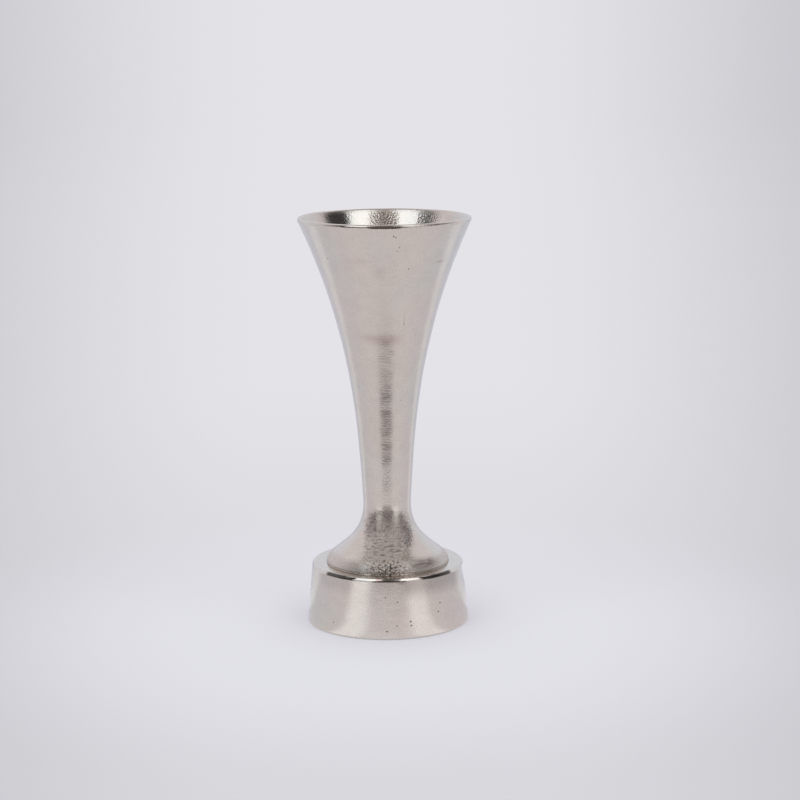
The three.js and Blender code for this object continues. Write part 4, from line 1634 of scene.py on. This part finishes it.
def press_in(loft, trim, middle):
    """A push that sinks a disc's faces by up to loft, and its edge by up to trim, towards its inside."""
    def push(_, point):
        towards = Vector((0, 0, 1 if point.z < middle else -1)) * loft * lumps(point)
        outer = smooth_step(math.hypot(point.x, point.y), DISC_RADIUS - 2, DISC_RADIUS)
        inward = -Vector((point.x, point.y, 0)).normalized() * trim * outer * lumps(point * 1.7)
        return point + towards + inward
    return push


def press_disc(name, bottom, top, edge, spacing, loft, trim):
    """One of the two discs."""
    outline = disc_outline(bottom, top, edge, spacing)
    piece, _ = turned(name, [("disc", outline)], DISC_AROUND, press_in(loft, trim, (bottom + top) / 2))
    return piece


board = press_disc(
    "base_board_pressed", board_bottom, board_top, BOARD_EDGE, spacing=2.0,
    loft=BOARD_ROUGH, trim=BOARD_ROUGH)
felt = press_disc(
    "felt_disc_pressed", felt_bottom, felt_top, FELT_EDGE, spacing=1.0, loft=FELT_LOFT, trim=FELT_TRIM)
print("discs:", len(board.data.vertices), "and", len(felt.data.vertices), "points")

# %% [markdown]
# ### Loose fibres
# Each fibre is a thin tube along a curved line on the felt's underside. The line starts somewhere on the
# disc, keeps turning a little, and stays between the felt's face and the table. Hair curves would be lighter,
# but a mesh can be exported as it is.

# %% Lay the fibres
FIBRE_COUNT = 1100
FIBRE_RADIUS = 0.035
FIBRE_STEPS = 6
FIBRE_SIDES = 4
FIBRE_LENGTHS = (4.0, 11.0)
FIBRE_CURL = 0.35
FIBRE_SEED = 7
FIBRE_MARGIN = 8.0


def fibre_grid(chance):
    """The rows of one fibre, from its first end to its last."""
    reach = (DISC_RADIUS - FIBRE_MARGIN) * math.sqrt(chance.random())
    where = chance.uniform(0, 2 * math.pi)
    place = Vector((reach * math.cos(where), reach * math.sin(where), 0))
    heading = chance.uniform(0, 2 * math.pi)
    curl = chance.uniform(-FIBRE_CURL, FIBRE_CURL)
    stride = chance.uniform(*FIBRE_LENGTHS) / FIBRE_STEPS
    rows = []
    for _ in range(FIBRE_STEPS + 1):
        across = Vector((-math.sin(heading), math.cos(heading), 0))
        middle = Vector((place.x, place.y, max(FELT_LOFT * lumps(place), 2 * FIBRE_RADIUS)))
        row = []
        for side in range(FIBRE_SIDES):
            turn = 2 * math.pi * side / FIBRE_SIDES
            row.append(middle + FIBRE_RADIUS * (across * math.cos(turn) + Vector((0, 0, math.sin(turn)))))
        rows.append(row)
        place += Vector((math.cos(heading), math.sin(heading), 0)) * stride
        heading += curl
    ends = [[sum(row, Vector()) / FIBRE_SIDES] for row in (rows[0], rows[-1])]
    return [ends[0], *rows, ends[1]]


def lay_fibres():
    """All the fibres as one piece."""
    chance = random.Random(FIBRE_SEED)
    return skin("felt_fibres", *(fibre_grid(chance) for _ in range(FIBRE_COUNT)))


fibres = lay_fibres()
print("fibres:", FIBRE_COUNT)

# %% [markdown]
# ### Pressed fibre finishes
# Board and felt share one effect: a tangle of fibres, made of noise that is stretched along three
# directions. A wave texture would repeat too evenly for that. The board shows it as flat brown flecks, the
# felt as a deep dark nap with a soft sheen.

# %% Fibre tangle group
FIBRE_TURNS = (0.3, 1.4, 2.4)


def make_fibre_tangle():
    """Fibres that cross in three directions. Height is from 0 to 1."""
    inputs = {"Fibre width": 0.0004, "Stretch": 7.0}
    group, entry, leave = new_group("fibre_tangle", inputs, {"Height": "NodeSocketFloat"})
    place = object_place(group)
    scale = maths(group, "DIVIDE", 1.0, entry["Fibre width"])
    along = maths(group, "DIVIDE", scale, entry["Stretch"])
    bend = add_node(group, "ShaderNodeTexNoise", {
        "Vector": place, "Scale": maths(group, "MULTIPLY", along, 0.6)}).outputs["Color"]
    wander = vector_maths(group, "SCALE", {0: bend, "Scale": 0.004})
    bent = vector_maths(group, "ADD", {0: place, 1: wander})
    stretch = add_node(group, "ShaderNodeCombineXYZ", {"X": along, "Y": scale, "Z": scale}).outputs[0]
    height = None
    for turn in FIBRE_TURNS:
        rotated = add_node(
            group, "ShaderNodeVectorRotate", {"Vector": bent, "Angle": turn}, rotation_type="Z_AXIS")
        drawn = vector_maths(group, "MULTIPLY", {0: rotated.outputs[0], 1: stretch})
        strands = noise_texture(group, drawn, 1.0, 2.0)
        layer = ease(group, strands, 0.42, 0.72)
        height = layer if height is None else maths(group, "MAXIMUM", height, layer)
    fill_socket(group, leave["Height"], height)
    return group


fibre_tangle = make_fibre_tangle()
print("group", fibre_tangle.name)

# %% Mix the board and the felt
BOARD_BROWN = (0.45, 0.33, 0.22, 1)
BOARD_FLECK = (0.58, 0.46, 0.33, 1)
FELT_DARK = (0.045, 0.045, 0.05, 1)
FELT_FIBRE = (0.11, 0.11, 0.118, 1)
FIBRE_WARM, FIBRE_COOL = (1.04, 1.0, 0.97, 1), (0.97, 0.99, 1.02, 1)
FIBRE_STRETCH = 8.0
FIBRE_PATCH, FIBRE_CLOUD, FIBRE_SPECKS = 0.018, 0.25, 0.2
NAP_SHARE = 0.6


def mix_fibre(name, ground, fleck, width, roughness, depth, sheen):
    """A matt fibre finish: its ground colour, its fibres' colour, and their width and depth in metres."""
    material, tree, shader = new_material(name)
    strands = place_group(tree, fibre_tangle, {"Fibre width": width, "Stretch": FIBRE_STRETCH})["Height"]
    tint = place_group(tree, tint_mottle, {
        "Colour": blend_colours(tree, strands, ground, fleck), "Warm": FIBRE_WARM, "Cool": FIBRE_COOL,
        "Patch size": FIBRE_PATCH, "Cloud": FIBRE_CLOUD, "Specks": FIBRE_SPECKS})
    nap = place_group(tree, fine_grain, {"Grain size": width * 2})["Height"]
    height = maths(tree, "MULTIPLY", maths(tree, "MULTIPLY_ADD", nap, NAP_SHARE, strands), depth)
    rough = ease(tree, strands, 0.0, 1.0, roughness, roughness - 0.1)
    fill_shader(tree, shader, tint["Colour"], rough, height)
    shader.inputs["Sheen Weight"].default_value = sheen
    return material


pressed_fibreboard = mix_fibre(
    "pressed_fibreboard", BOARD_BROWN, BOARD_FLECK, width=0.0006, roughness=0.85, depth=0.00012, sheen=0.0)
wool_felt = mix_fibre(
    "wool_felt", FELT_DARK, FELT_FIBRE, width=0.00025, roughness=0.95, depth=0.00025, sheen=0.35)
dress(board, "base_board", pressed_fibreboard)
dress(felt, "felt_disc", wool_felt)
fibres.data.materials.append(wool_felt)
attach(fibres, "root")
print("materials", pressed_fibreboard.name, "and", wool_felt.name)
